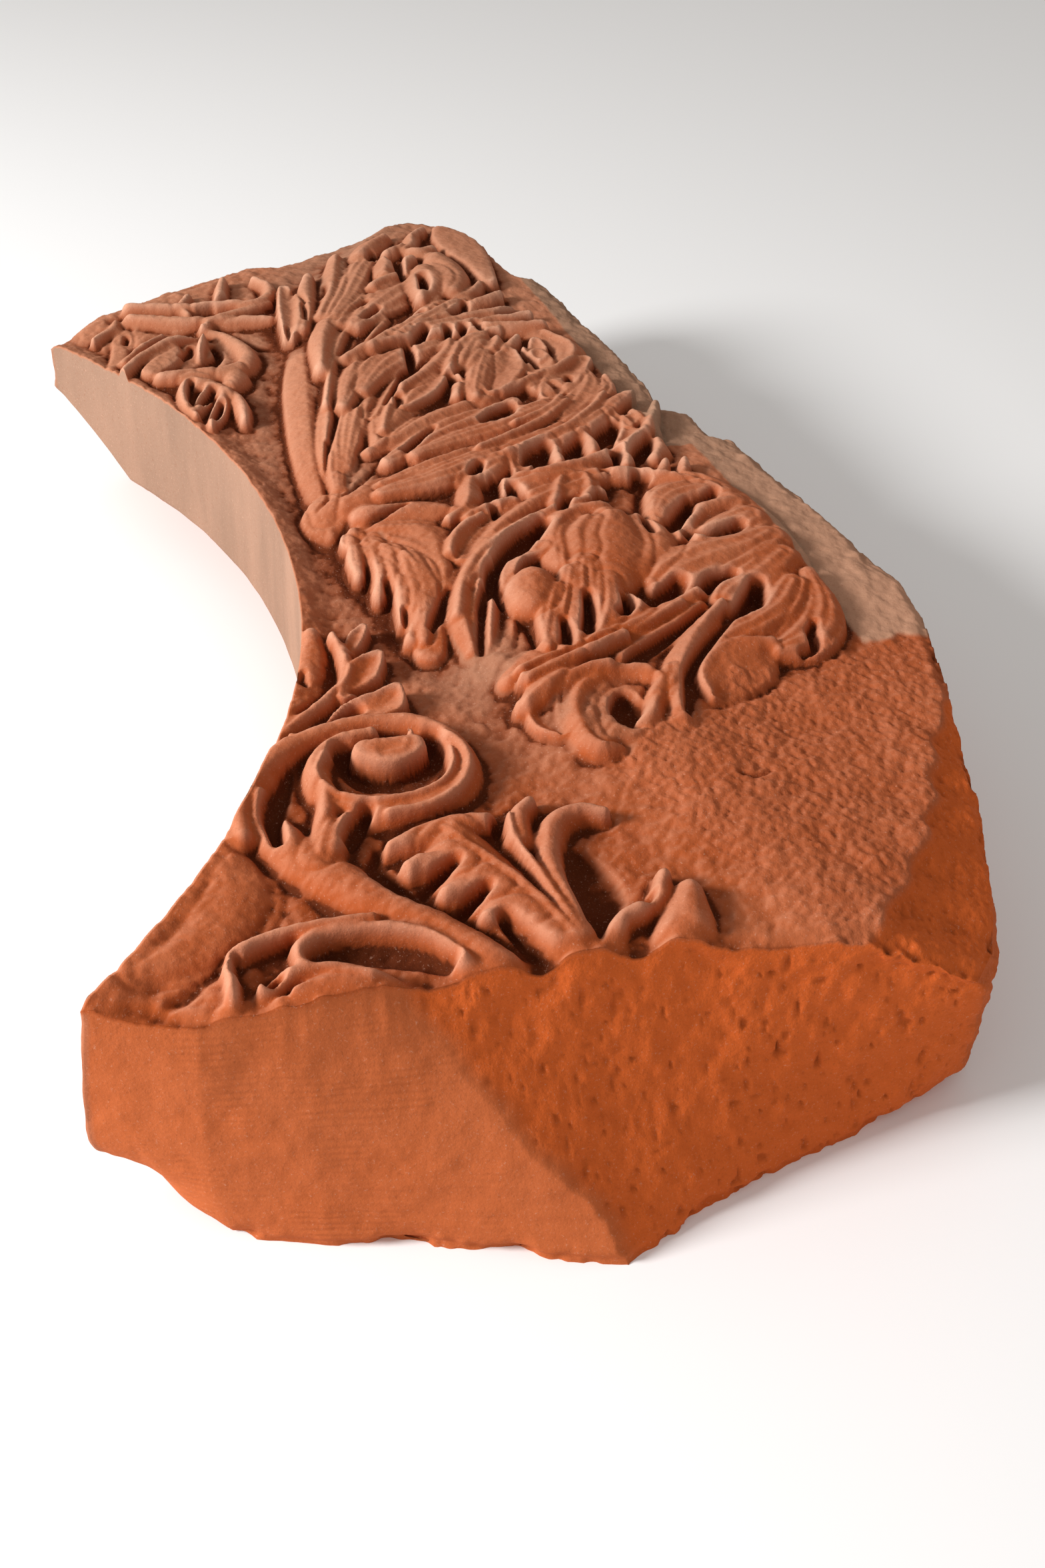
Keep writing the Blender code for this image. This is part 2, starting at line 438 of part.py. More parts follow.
def simplified(data):
    """The same solid with fewer facets, its underside kept flat."""
    draft = bpy.data.objects.new("draft", data)
    bpy.context.scene.collection.objects.link(draft)
    fewer = draft.modifiers.new("fewer", "DECIMATE")
    fewer.ratio = FACETS / len(data.polygons)
    seen = draft.evaluated_get(bpy.context.evaluated_depsgraph_get())
    result = bpy.data.meshes.new_from_object(seen)
    bpy.data.objects.remove(draft, do_unlink=True)
    for vertex in result.vertices:
        if vertex.co.z < -BLOCK_DEPTH + FLAT_WITHIN:
            vertex.co.z = -BLOCK_DEPTH
    return result


def main():
    for old in list(bpy.data.objects):
        bpy.data.objects.remove(old, do_unlink=True)
    data = simplified(keystone_mesh())
    points = np.array([vertex.co for vertex in data.vertices])
    low, high = points.min(axis=0), points.max(axis=0)
    for vertex in data.vertices:
        vertex.co.x -= 0.5 * (low[0] + high[0])
        vertex.co.y -= 0.5 * (low[1] + high[1])
        vertex.co.z -= low[2]
    data.name = "keystone"
    keystone = bpy.data.objects.new("keystone", data)
    bpy.context.scene.collection.objects.link(keystone)
    stone = bpy.data.materials.new("red sandstone")
    stone.use_nodes = True
    surface = stone.node_tree.nodes["Principled BSDF"]
    surface.inputs["Base Color"].default_value = STONE_COLOUR
    surface.inputs["Roughness"].default_value = STONE_ROUGHNESS
    surface.inputs["Metallic"].default_value = 0.0
    data.materials.append(stone)


main()
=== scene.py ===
"""Looks of the carved sandstone keystone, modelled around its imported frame."""
import math

import bpy
import numpy as np
from mathutils import Euler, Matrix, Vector


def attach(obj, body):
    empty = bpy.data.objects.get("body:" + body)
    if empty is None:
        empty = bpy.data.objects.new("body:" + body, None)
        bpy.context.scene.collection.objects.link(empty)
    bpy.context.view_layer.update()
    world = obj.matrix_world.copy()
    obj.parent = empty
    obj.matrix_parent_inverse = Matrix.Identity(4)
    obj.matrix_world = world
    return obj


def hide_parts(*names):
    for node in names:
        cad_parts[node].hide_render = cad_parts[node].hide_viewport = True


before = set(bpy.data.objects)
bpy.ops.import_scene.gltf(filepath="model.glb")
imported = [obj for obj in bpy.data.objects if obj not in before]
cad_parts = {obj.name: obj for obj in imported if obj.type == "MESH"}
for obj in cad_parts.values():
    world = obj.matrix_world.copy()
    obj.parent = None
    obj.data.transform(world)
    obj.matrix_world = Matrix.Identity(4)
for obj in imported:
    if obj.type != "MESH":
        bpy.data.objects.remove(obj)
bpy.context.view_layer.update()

# Sizes that the frame was built from, in metres
RADIUS = 0.80
SOFFIT_DEPTH = 0.14
BLOCK_DEPTH = 0.218
FAR_SET_IN = 0.115
NEAR_SET_IN = 0.008
END_SET_IN = 0.030
NEAR_BULGE = 0.105
RIDGE_TOP = 0.33
RIDGE_FOOT = 0.55
RIDGE_WAVER = 0.012
LIP_FADE = 0.07
EDGE_DEPTH = 0.035
CORNER_DRIFT = 0.050
BROKEN_TIP = 0.10
FAR_ANGLE = math.radians(-38.7)
NEAR_ANGLE = math.radians(48.0)
ARCH_CENTRE = np.array([-0.0017, -0.9556, BLOCK_DEPTH])

# The photograph's camera, with its focal length as a share of the picture's height, and the studio
CAMERA_PLACE = (1.32995, -0.40956, 1.03148)
CAMERA_TURN = (0.8734, -0.0622, 1.2405)
SENSOR = 36.0
FOCAL_SHARE = 2300.0 / 2353.0
LAMP_PLACE = (0.25, -3.6, 1.95)
LAMP_AIM = (0.0, 0.0, 0.1)
LAMP_SIZE = 1.1
LAMP_POWER = 235.0
FLOOR_REACH = 9.0

# Shares of the radius from here on, unless a line says otherwise
FAR_LIFT = 0.018 / RADIUS
NEAR_LIFT = 0.022 / RADIUS
HOLLOW = -0.011 / RADIUS
FAN_SWELL = 0.022 / RADIUS
FAN_SINK = 0.0045 / RADIUS
FILLET_RISE = 0.014 / RADIUS
BROKEN_HEIGHT = 0.012
CHAMFER_FALL = 0.50
CHAMFER_STEP = 0.007
BULGE_AT = [0.0, 0.18, 0.31, 0.42, 0.55, 0.77, 0.92, 1.0]
BULGE_SHARES = [-0.19, 0.14, 0.38, 0.67, 1.0, 0.40, 0.0, -0.30]
FAR_EDGE = [(-0.625, 0.780), (-0.71, 0.875), (-0.765, 0.97), (-0.805, 1.05), (-0.845, 1.12), (-0.84, 1.17),
            (-0.87, 1.23), (-0.915, 1.31), (-0.94, 1.38), (-0.94, 1.43), (-0.905, 1.485)]
NEAR_EDGE = [(0.743, 0.669), (0.775, 0.76), (0.787, 0.85), (0.79, 0.95), (0.797, 1.05), (0.80, 1.13),
             (0.81, 1.21), (0.825, 1.30), (0.85, 1.40), (0.872, 1.49)]
OUTER_EDGE = [(-0.905, 1.485), (-0.81, 1.52), (-0.73, 1.525), (-0.67, 1.54), (-0.655, 1.57), (-0.58, 1.585),
              (-0.48, 1.60), (-0.38, 1.615), (-0.28, 1.615), (-0.215, 1.605), (-0.19, 1.64), (-0.12, 1.645),
              (-0.10, 1.67), (0.0, 1.685), (0.10, 1.70), (0.20, 1.707), (0.29, 1.72), (0.37, 1.708),
              (0.465, 1.677), (0.568, 1.643), (0.67, 1.610), (0.774, 1.565), (0.838, 1.53), (0.872, 1.49)]
CHAMFER_EDGE = [(0.500, 1.655), (0.582, 1.602), (0.646, 1.560), (0.702, 1.508), (0.756, 1.465),
                (0.805, 1.419), (0.829, 1.390), (0.900, 1.305)]
BROKEN_EDGE = [(0.43, 1.62), (0.435, 1.53), (0.455, 1.44), (0.48, 1.38), (0.51, 1.33), (0.55, 1.25),
               (0.55, 1.21)]

# The carving's layout is read from above one spot, on a datum plane
SPOT = np.array([1.665, 0.682, 1.017])
DATUM = 0.03

# How much wider than read the strokes are cut, and how they are rounded, opened and ribbed
WIDER = 1.22
WIDER_BY = 0.0020
KEELED_FROM = 20
PLUMP_DROP = 0.024
PIT_WIDTH = 0.85
PANEL_OPENING = 0.006
FAN_OPENING = 0.029
FULL_DROP_WIDTH = 0.017
RIB_SPACING = 0.0062
RIB_HEIGHT = 0.00028
CUT_REACH = 0.010
THINNEST = 0.0015

# Weathering of the face: coarse waves, lumps and grit of each kind of ground
BROKEN_GRAIN = (0.0030, 0.0011, 0.0017)
WORN_RIMS = {"near": (0.020, 0.010), "far": (0.022, 0.008), "outer": (0.016, 0.009)}
PICK_DEPTH = 0.0010

# Roughness of the sides, in metres: big, middling and fine lumps, and dents
SIDE_GRAIN = {"rough": (0.0045, 0.003, 0.0014, 0.004), "beyond": (0.0030, 0.0014, 0.0011, 0.008),
              "tooled": (0.0016, 0.0007, 0.0003, 0.0), "soffit": (0.0008, 0.0003, 0.0, 0.0)}

# Reach, in cells of the sheet, of the blurs that soften the cuts and find the hollows
SOFTENED = 1.3
CLOSE_HOLLOW = 7.0
WIDE_HOLLOW = 22.0

# Fineness
PIXEL = 0.00125
SHEET_LOW = (-1.0, 0.60)
SHEET_HIGH = (0.95, 1.76)
CELLS_ALONG = 700
CELLS_ACROSS = 300
WALL_ROWS = 70
SHELF_ROW = 17
END_CELLS = 24
CUT_SHARES = [0.0, 0.20, 0.33, 0.60, 0.80, 1.0]
TAGS = ("soffit", "tooled", "turned", "broken", "cavity", "raised", "dressed", "dusty")
PIECES = ("keystone_far", "keystone_middle_far", "keystone_middle", "keystone_middle_near", "keystone_near")

# Kinds of stroke: how far their edges drop, and how deep the cut around them is
KINDS = {"round": (0.020, 0.004), "scoop": (0.018, 0.004), "ribbed": (0.020, 0.004), "left": (0.026, 0.004),
         "right": (0.026, 0.004), "flat": (0.018, 0.004), "ridge": (0.016, 0.002), "dome": (0.030, 0.004),
         "line": (0.006, 0.002), "pit": (0.010, 0.0)}

# The carving, in the order it is cut. A stroke is its kind, its height and its places, each
# x,y,half width with a rise where it isn't level, all in thousandths of the radius.
CARVING = {
    "panel beside the near end: picked ground, then the spiral with its stem": """
dome -2 560,805,10 610,815,44 650,805,56 690,775,44 715,725,20
round 6 800,1040,18 752,1004,26 704,964,30 654,924,30 604,892,30 556,870,24 510,870,14
round 8 565,842,12 520,848,16 474,876,18 440,914,18 424,960,15 420,1005,14 432,1048,15 462,1074,17
502,1082,18 540,1066,20 560,1030,21 562,985,21 545,948,19 508,930,16 468,938,13 446,965,10 441,1000,8
ridge 12 452,1066,4 480,1084,6 515,1084,6 548,1064,6 566,1030,6 568,985,5
ridge 11 448,1040,4 474,1066,5 505,1070,5 534,1052,5 548,1018,5 548,978,5 530,945,5 495,930,4 462,946,4
pit -24 466,1054,12 496,1046,18 510,1010,20 498,974,18 466,966,14
flat 10 470,988,17 477,1010,23 473,1034,18
line 7 486,1002,2 484,1024,3 468,1030,3 462,1014,2
round 9 518,934,7 546,928,11 580,918,16 612,902,14
round 8 566,944,8 584,930,12 608,918,12
pit -22 470,908,3 496,896,10 520,884,13 548,874,10 584,872,4
pit -22 562,964,6 580,950,9 596,938,5""",
    "leaves on the far side of the spiral": """
ridge 6 258,1002,6 300,1006,10 340,1000,11 372,972,10 402,934,9 436,900,7
round 0 250,980,12 290,972,22 330,955,26 370,925,22 400,900,12
scoop 9 306,1044,8 322,1028,18 348,1012,18 374,988,8
scoop 10 372,1046,10 394,1026,24 398,990,16 410,955,8 428,918,4
scoop 6 252,1040,8 272,1026,12 300,1012,8
pit -22 400,994,9 410,962,8 424,926,4
pit -14 300,984,3 334,982,6 364,962,6 390,936,3
pit -20 286,1040,5 300,1026,7
pit -20 352,1040,5 364,1016,6 368,1000,3
pit -10 318,956,4 330,952,8 340,954,4""",
    "acanthus leaf: its horn and body, then the gaps between its fingers": """
round 9 622,1192,5 612,1168,11 622,1140,16 656,1120,16 712,1112,12 810,1120,6
round 8 588,1124,7 604,1108,13 640,1096,18
round 8 602,1078,10 600,1048,20 604,1018,21 612,992,16 616,974,8
round 10 606,1040,18 646,1036,42 696,1056,42 750,1082,30 812,1104,17
round 9 650,1028,20 644,1000,16 648,984,9
round 9 690,1050,20 686,1026,15 690,1008,9
round 9 736,1074,16 728,1050,12 730,1034,7
ridge 11 600,1098,3 634,1092,5 690,1100,6 806,1114,4
ridge 11 604,1030,3 650,1056,5 700,1082,5 750,1098,5 806,1110,4
pit -20 604,1084,3 616,1081,6 628,1082,3
pit -24 608,962,5 634,956,13 660,964,13 690,984,9 704,996,3
pit -22 634,1000,2 630,986,4 628,970,6
pit -24 656,1026,2 664,1010,6 674,990,7
pit -24 698,1044,2 706,1028,6 716,1010,7
pit -24 738,1048,4 758,1056,7 782,1066,8 806,1078,7""",
    "bowl and broken leaf beyond it": """
pit -24 664,1146,14 690,1150,26 724,1150,28 760,1134,12
round 9 722,1214,8 742,1202,10 756,1180,9 764,1156,9 784,1138,9 806,1130,7
round 10 744,1232,16 782,1212,28 806,1190,20
pit -16 744,1190,5 750,1182,6""",
    "ring-like leaf at the near end and the loops under it": """
round 9 800,1008,8 764,992,9 732,966,10 714,924,9 712,884,9 728,858,8 748,862,6
ridge 9 704,934,6 701,880,8 704,836,8 718,802,8 752,796,7 784,790,5
round 8 794,946,8 772,914,10 756,882,9 752,846,8 762,822,6
flat 6 800,940,10 788,900,22 784,860,20 790,820,12
pit -22 772,984,8 754,958,15 740,920,15 736,886,10
pit -20 722,790,5 734,770,10 748,746,10 757,724,4
pit -16 728,848,4 742,846,6
pit -16 722,806,3 740,804,4
pit -18 754,836,4 758,828,5""",
    "panel beside the far end": """
round 4 -594,1112,10 -604,1056,16 -610,1000,18 -622,950,18 -640,902,14
round 6 -752,1116,7 -722,1132,13 -684,1126,15 -660,1094,14 -666,1052,12 -662,1005,12 -672,950,12 -680,905,10
round 4 -756,1066,7 -722,1056,11 -684,1048,8
round 2 -700,1000,8 -664,984,10 -632,990,6
round 4 -652,1120,6 -634,1080,12 -612,1030,10 -590,1006,6
round 6 -566,1000,7 -546,1028,14 -505,1048,18 -462,1050,20 -432,1016,24 -430,966,22 -432,918,14
flat 3 -530,950,10 -488,934,24 -446,908,18
round 6 -570,996,6 -556,962,11 -526,926,11 -494,894,10 -452,866,6
round 4 -560,940,5 -524,902,8 -484,872,7
dome 8 -436,1020,18 -412,1020,26 -392,1012,18
round 7 -276,1008,6 -306,1012,11 -346,1008,16 -384,988,18 -404,960,16 -386,944,12 -340,938,9 -300,946,4
round 7 -366,998,8 -326,984,12 -284,966,7 -262,960,3
round 6 -380,978,8 -346,962,11 -312,950,5
ridge 7 -556,1000,4 -530,992,7 -500,985,4
flat -2 -596,880,10 -546,880,16 -490,866,14 -456,852,6
round 3 -624,880,6 -602,874,10 -584,856,7 -566,840,4
pit -26 -528,1010,5 -500,1012,8 -478,992,12 -464,968,8
pit -22 -540,978,4 -516,970,7 -502,958,3
pit -20 -330,986,3 -306,976,6 -282,965,3
pit -20 -374,982,4 -352,968,6 -330,956,3
pit -16 -398,956,3 -370,949,4 -338,946,3
pit -24 -584,990,8 -578,950,9 -556,922,6
pit -24 -702,1086,9 -686,1052,10 -682,1016,6
pit -18 -730,1114,4 -708,1112,5
pit -18 -652,1030,6 -648,1010,5
pit -18 -650,972,5 -640,960,4
pit -22 -512,1088,6 -524,1070,8 -544,1056,4
pit -18 -586,890,5 -570,886,6""",
    "foot of the fan and the leaves that spring from it": """
round 24 60,1050,14,-26 20,1060,30,-18 -20,1085,40,-6 -40,1140,44 -70,1220,40 -100,1290,26
flat 26 70,1090,26,-14 110,1130,30,-4 170,1130,26 240,1120,22,-4 320,1100,14,-14
round 27 40,1100,20,-10 60,1160,36,-2 100,1170,34 170,1160,24 240,1142,12
round 28 0,1110,18 10,1180,26 24,1215,22 40,1240,10
ribbed 28 75,1095,8,-12 110,1126,14 160,1136,16 215,1118,14 285,1090,8,-8
ribbed 18 60,1080,7,-10 104,1070,10 148,1062,5,-6
ribbed 22 70,1096,9,-8 124,1096,12 168,1084,10 194,1074,4,-6
ribbed 24 96,1114,9,-4 160,1114,12 212,1102,10 250,1088,4,-6
ribbed 24 120,1132,9 190,1130,12 244,1116,10 294,1100,4,-6
pit 0 106,1082,3 130,1079,6 158,1072,6
pit 0 154,1094,3 174,1091,6 196,1083,5
pit 0 214,1100,3 232,1096,6 254,1088,5
pit 2 192,1162,4 216,1148,8 244,1130,7 262,1118,4""",
    "middle leaf, in parallel folds": """
ribbed 31 -120,1170,10 -160,1230,26 -195,1290,34 -218,1345,30 -250,1390,14
flat 31 -240,1500,20 -280,1470,26 -310,1440,20
ribbed 34 -60,1150,12,-6 -90,1230,26 -122,1320,30 -152,1400,30 -190,1462,30 -236,1508,24 -268,1542,12
-300,1552,5,-6
ribbed 37 -40,1140,10,-6 -68,1225,18 -108,1320,20 -136,1400,20 -166,1462,19 -204,1512,16 -236,1556,9
-242,1572,4
ribbed 36 -130,1210,8 -160,1275,16 -182,1340,20 -212,1402,26 -236,1450,22 -252,1474,8
ribbed 34 -196,1448,16 -236,1482,24 -286,1518,22 -328,1530,8,-4
ridge 41 -190,1372,4 -208,1412,6 -232,1446,6 -254,1464,4
ridge 40 -110,1330,4 -140,1395,5 -172,1450,5 -215,1500,5 -250,1530,4
ridge 40 -130,1300,4 -160,1360,5 -196,1420,5 -240,1470,4""",
    "slim stem up the middle and the rim of the near scroll": """
round 40 -44,1325,10,-6 -52,1370,13 -62,1420,13 -78,1462,11 -102,1508,10 -130,1542,9 -165,1572,8
-206,1594,5,-8
round 36 -24,1300,12,-8 -34,1350,20 -34,1400,20 -32,1448,14 -24,1490,12 -6,1528,12 20,1560,12 50,1582,8
flat 30 -24,1300,12 -8,1345,26 0,1390,22 10,1420,12
ridge 36 -30,1385,5 0,1368,7 36,1350,5
ridge 35 -24,1416,5 6,1412,7 26,1398,5""",
    "small leaves between the folds": """
scoop 34 -192,1516,6 -154,1526,10 -118,1514,9 -102,1496,5
round 33 -140,1456,6 -108,1458,9 -82,1450,6
round 31 -122,1402,5 -96,1402,8 -70,1396,6
scoop 33 -110,1336,7 -82,1346,12 -50,1334,8
round 32 -96,1330,8 -76,1312,13 -58,1288,11 -46,1262,6
round 32 -62,1268,8 -34,1256,14 -4,1246,15 24,1232,12 40,1206,5
round 33 14,1302,7 20,1278,11 30,1252,11 44,1230,6
scoop 32 44,1254,8 76,1246,18 108,1222,18 130,1196,10
ridge 35 44,1248,4 60,1222,6 88,1198,6 118,1184,4
round 32 -82,1488,5 -62,1492,8 -44,1484,6
round 33 -36,1566,5 -22,1560,8 -8,1552,6
round 33 -38,1538,5 -22,1530,8 -8,1520,6
round 31 -186,1552,8 -158,1556,14 -130,1560,10
scoop 31 -176,1560,5 -166,1540,10 -150,1530,8
round 30 -98,1552,8 -74,1546,14 -54,1530,8
pit 2 -150,1508,6 -134,1492,14 -120,1472,10
pit 2 -112,1440,5 -96,1426,12 -84,1412,8
pit 0 -102,1386,8 -86,1368,16 -72,1352,8
pit 6 -74,1284,3 -62,1274,6 -52,1266,3
pit 4 -38,1292,7 -8,1280,13 14,1264,6
pit 0 -98,1538,5 -78,1522,12 -60,1504,7
pit 4 -72,1478,6 -56,1472,7
pit 4 -8,1484,6 10,1472,8
pit 8 -24,1442,5 4,1436,8 18,1430,5
pit 0 -16,1308,5 2,1308,8 16,1314,4
pit 4 34,1268,4 60,1265,6 92,1257,4
pit 2 -234,1380,8 -216,1360,18 -200,1336,12
pit 4 -254,1430,4 -246,1414,7 -238,1404,3
pit 4 -288,1462,3 -268,1466,6 -246,1466,3
pit 6 -196,1254,3 -166,1226,6 -138,1198,5
pit 6 -120,1152,4 -90,1124,9 -58,1096,5
pit 10 -4,1164,3 10,1130,5 26,1092,7""",
    "long leaves that sweep from the foot to the far side": """
round 20 30,1048,10,-24 -60,1064,20,-16 -160,1078,24,-10 -260,1094,26,-6 -370,1116,28,-4 -470,1142,26,-2
-560,1168,20,-2 -620,1196,14
ribbed 24 -60,1088,8,-10 -150,1106,18,-2 -250,1132,22 -360,1168,24 -460,1206,26 -550,1246,28 -610,1282,16
ribbed 26 -110,1110,8,-8 -200,1140,16 -300,1178,20 -400,1224,22 -490,1272,22 -560,1300,16 -592,1300,8
round 24 -420,1150,10 -520,1176,18 -600,1214,22 -660,1262,22 -705,1316,20 -732,1344,8
ribbed 26 -560,1236,14 -612,1276,22 -650,1312,32 -684,1346,26 -704,1366,10
round 24 -560,1210,8 -610,1240,12 -645,1268,10 -654,1282,5
ribbed 22 -600,1210,12 -670,1250,20 -740,1284,22 -800,1316,18 -816,1330,8
round 20 -600,1190,10 -670,1222,14 -740,1244,16 -822,1268,12
round 18 -560,1150,10 -640,1174,14 -700,1190,12 -748,1204,8
scoop 18 -546,1130,8 -600,1142,14 -660,1152,14 -708,1156,8
ridge 30 -300,1128,4 -400,1160,5 -500,1198,6 -584,1248,5
ridge 30 -300,1150,4 -400,1192,5 -490,1240,6 -556,1284,5
pit 4 -20,1042,3 -46,1060,4 -66,1076,4 -120,1085,3 -200,1106,2
pit 8 -176,1102,3 -230,1121,5 -290,1142,5 -350,1160,3
pit 8 -282,1164,4 -320,1180,6 -356,1192,3
pit 8 -604,1284,4 -590,1268,7 -570,1252,4
pit 8 -646,1276,4 -630,1262,5
pit 4 -742,1228,5 -715,1222,8 -690,1212,4
pit 2 -732,1176,6 -708,1164,6
pit 4 -582,1133,3 -562,1130,5 -548,1128,4
pit 6 -662,1176,3 -636,1173,5 -600,1166,3
pit 6 -700,1180,3 -672,1182,4""",
    "leaves under the far scroll": """
round 30 -150,1150,8,-4 -185,1196,18 -220,1250,24 -248,1306,20 -268,1346,12
round 28 -170,1168,8 -210,1178,14 -250,1190,12 -272,1204,5
round 30 -200,1190,10 -262,1226,24 -320,1270,30 -362,1312,22 -390,1336,8
ridge 34 -206,1186,4 -270,1212,6 -330,1252,6 -368,1300,6 -390,1334,4
right 27 -250,1180,6 -330,1212,16 -400,1244,20 -452,1284,18 -482,1330,8
pit 6 -298,1233,4 -278,1229,5 -262,1224,3
pit 6 -402,1224,3 -385,1220,5 -370,1218,3
pit 6 -352,1272,3 -336,1266,5 -322,1258,3
ribbed 31 -290,1150,8 -370,1186,22 -430,1232,30 -474,1290,30 -500,1360,22
ribbed 31 -330,1190,8 -396,1232,20 -440,1280,26 -470,1340,26 -486,1400,16""",
    "slim leaves, fanned from one root, and the far scroll's stem": """
round 32 -480,1240,10 -520,1286,16 -570,1340,14 -618,1386,14 -652,1416,12 -674,1442,6
round 33 -510,1290,10 -560,1346,13 -604,1402,14 -640,1446,13 -676,1476,7
round 33 -520,1310,8 -564,1372,12 -596,1430,15 -616,1474,13 -632,1502,6
round 34 -520,1300,8 -548,1350,12 -578,1394,14 -600,1424,8
round 33 -526,1330,8 -546,1390,12 -560,1446,14 -574,1508,7
round 33 -520,1350,8 -530,1410,12 -538,1466,13 -544,1516,6
round 32 -530,1300,6 -556,1344,10 -578,1374,9 -592,1372,4
round 35 -440,1190,10,-6 -482,1240,14 -508,1300,17 -518,1370,18 -513,1430,17 -506,1480,14 -502,1524,8
ridge 37 -482,1256,4 -503,1320,6 -508,1390,6 -500,1450,5
pit 8 -666,1440,4 -650,1436,5
pit 6 -658,1484,4 -638,1474,7 -622,1460,4
pit 4 -624,1504,5 -600,1500,6 -586,1494,4
pit 6 -594,1484,3 -582,1474,6 -570,1458,3
pit 2 -566,1506,6 -552,1490,9 -542,1468,5
pit 8 -590,1422,3 -570,1414,8 -556,1392,5
pit 8 -572,1346,4 -560,1322,7 -546,1302,4
pit 8 -626,1372,4 -600,1344,6 -580,1320,3""",
    "far scroll: its ring and the flower inside": """
round 33 -500,1440,14 -480,1490,24 -438,1524,27 -390,1528,24 -352,1492,20 -322,1440,16 -296,1396,14
-268,1348,12
ridge 37 -470,1516,4 -420,1540,6 -380,1528,6 -346,1484,6 -318,1432,6 -290,1386,5
scoop 33 -366,1546,8 -334,1510,18 -300,1480,20 -262,1452,14
dome 36 -470,1412,20 -440,1392,30 -402,1366,28
round 38 -482,1420,8 -470,1388,12 -440,1366,14 -400,1344,12 -372,1330,6
round 36 -462,1468,5 -444,1452,9 -428,1436,7
round 37 -466,1436,6 -446,1430,10 -428,1416,8
scoop 36 -444,1492,8 -420,1482,16 -396,1478,14
scoop 36 -404,1480,8 -372,1476,16 -344,1456,12
scoop 38 -414,1440,10 -370,1416,26 -326,1388,22 -296,1372,8
ribbed 37 -412,1400,8 -356,1372,16 -304,1350,14 -280,1344,5
round 36 -470,1362,7 -432,1346,14 -390,1312,16 -356,1276,12 -334,1248,5
left 35 -392,1336,8 -364,1306,18 -324,1272,22 -284,1236,14
round 34 -346,1336,5 -318,1330,9 -290,1318,7
pit 4 -450,1289,4 -420,1285,7 -384,1277,5
pit 6 -498,1331,4 -480,1318,7 -462,1304,4
pit 6 -505,1415,4 -486,1416,4
pit 6 -500,1393,4 -486,1386,5
pit 6 -496,1366,4 -474,1360,5
pit 6 -338,1322,4 -322,1327,5
pit 8 -392,1452,3 -368,1458,6 -344,1460,3
pit 8 -432,1470,5 -418,1464,6
pit 8 -310,1498,4 -292,1490,6""",
    "worn lumps at the far outer corner": """
flat 26 -905,1478,14 -860,1490,30 -800,1494,26 -740,1496,18 -680,1494,10
dome 34 -800,1436,20 -760,1440,28 -710,1436,28 -664,1424,16
dome 36 -750,1402,22 -716,1400,32 -676,1384,24 -644,1366,8
round 34 -836,1440,8 -826,1416,16 -836,1400,8
round 33 -800,1394,8 -784,1374,14 -752,1362,10
round 32 -800,1346,10 -776,1344,18 -746,1332,14
round 30 -732,1348,7 -716,1322,12 -700,1300,8
round 31 -856,1392,7 -842,1376,12 -830,1358,8
round 30 -920,1446,7 -892,1420,12 -856,1408,12 -836,1390,6
round 28 -900,1372,10 -868,1340,20 -830,1312,16
pit 4 -812,1372,5 -772,1362,7 -722,1356,4
pit 4 -704,1384,4 -675,1380,6 -646,1371,4
pit 6 -896,1442,5 -868,1434,9 -842,1420,5
pit 2 -836,1336,6 -818,1328,8""",
    "near scroll: the outer leaf's crest and its hanging lobes": """
round 33 0,1556,10 30,1578,22 90,1590,30 160,1592,34 230,1580,36 290,1552,36 335,1505,30 370,1450,22
410,1395,12
round 33 0,1530,14 22,1540,18 34,1510,20 50,1485,18 78,1466,7,-6
ribbed 35 40,1570,10 40,1535,16 52,1506,18 78,1480,14 106,1466,6,-6
round 35 78,1590,12 84,1556,17 100,1522,20 126,1494,17 152,1478,6,-6
ribbed 38 118,1592,22 130,1560,22 140,1528,14 150,1505,6
ribbed 40 170,1596,24 190,1556,34 204,1500,40 222,1450,34 240,1412,18,-6
ribbed 39 216,1590,22 244,1552,27 268,1510,27 290,1478,18 316,1462,7,-4
ribbed 38 280,1575,18 320,1540,24 348,1495,21 368,1446,20 398,1398,14 428,1370,6,-4
ribbed 34 262,1604,8 318,1592,18 362,1568,26 392,1534,24 404,1496,12
pit 12 376,1552,4 394,1540,7 416,1534,8 424,1514,5""",
    "stems beside it": """
round 36 300,1468,5 340,1425,13 390,1380,16 440,1348,16 500,1330,12,-6
right 37 392,1490,8 412,1450,30 436,1410,24 472,1384,6,-6
round 34 262,1462,6 284,1428,12 304,1385,18 322,1330,26 344,1275,30 366,1215,28 386,1175,14,-6
ridge 37 288,1420,5 312,1365,6 330,1305,6 350,1250,6 372,1190,5
ridge 36 330,1330,5 352,1280,6 372,1225,6 384,1190,5
round 31 300,1440,8 330,1396,14 356,1350,15 378,1308,10
round 30 384,1290,8 388,1250,12 404,1210,16 430,1176,10,-6""",
    "the near scroll's own stem, doubled": """
round 32 -18,1440,8 -2,1390,14 24,1332,16 66,1274,16 116,1228,16 178,1190,16 250,1160,16 330,1148,12,-8
ridge 36 30,1400,4 50,1336,6 80,1280,6 120,1228,6 176,1185,6 250,1153,5
ridge 35 62,1320,4 96,1270,5 140,1222,5 190,1188,5""",
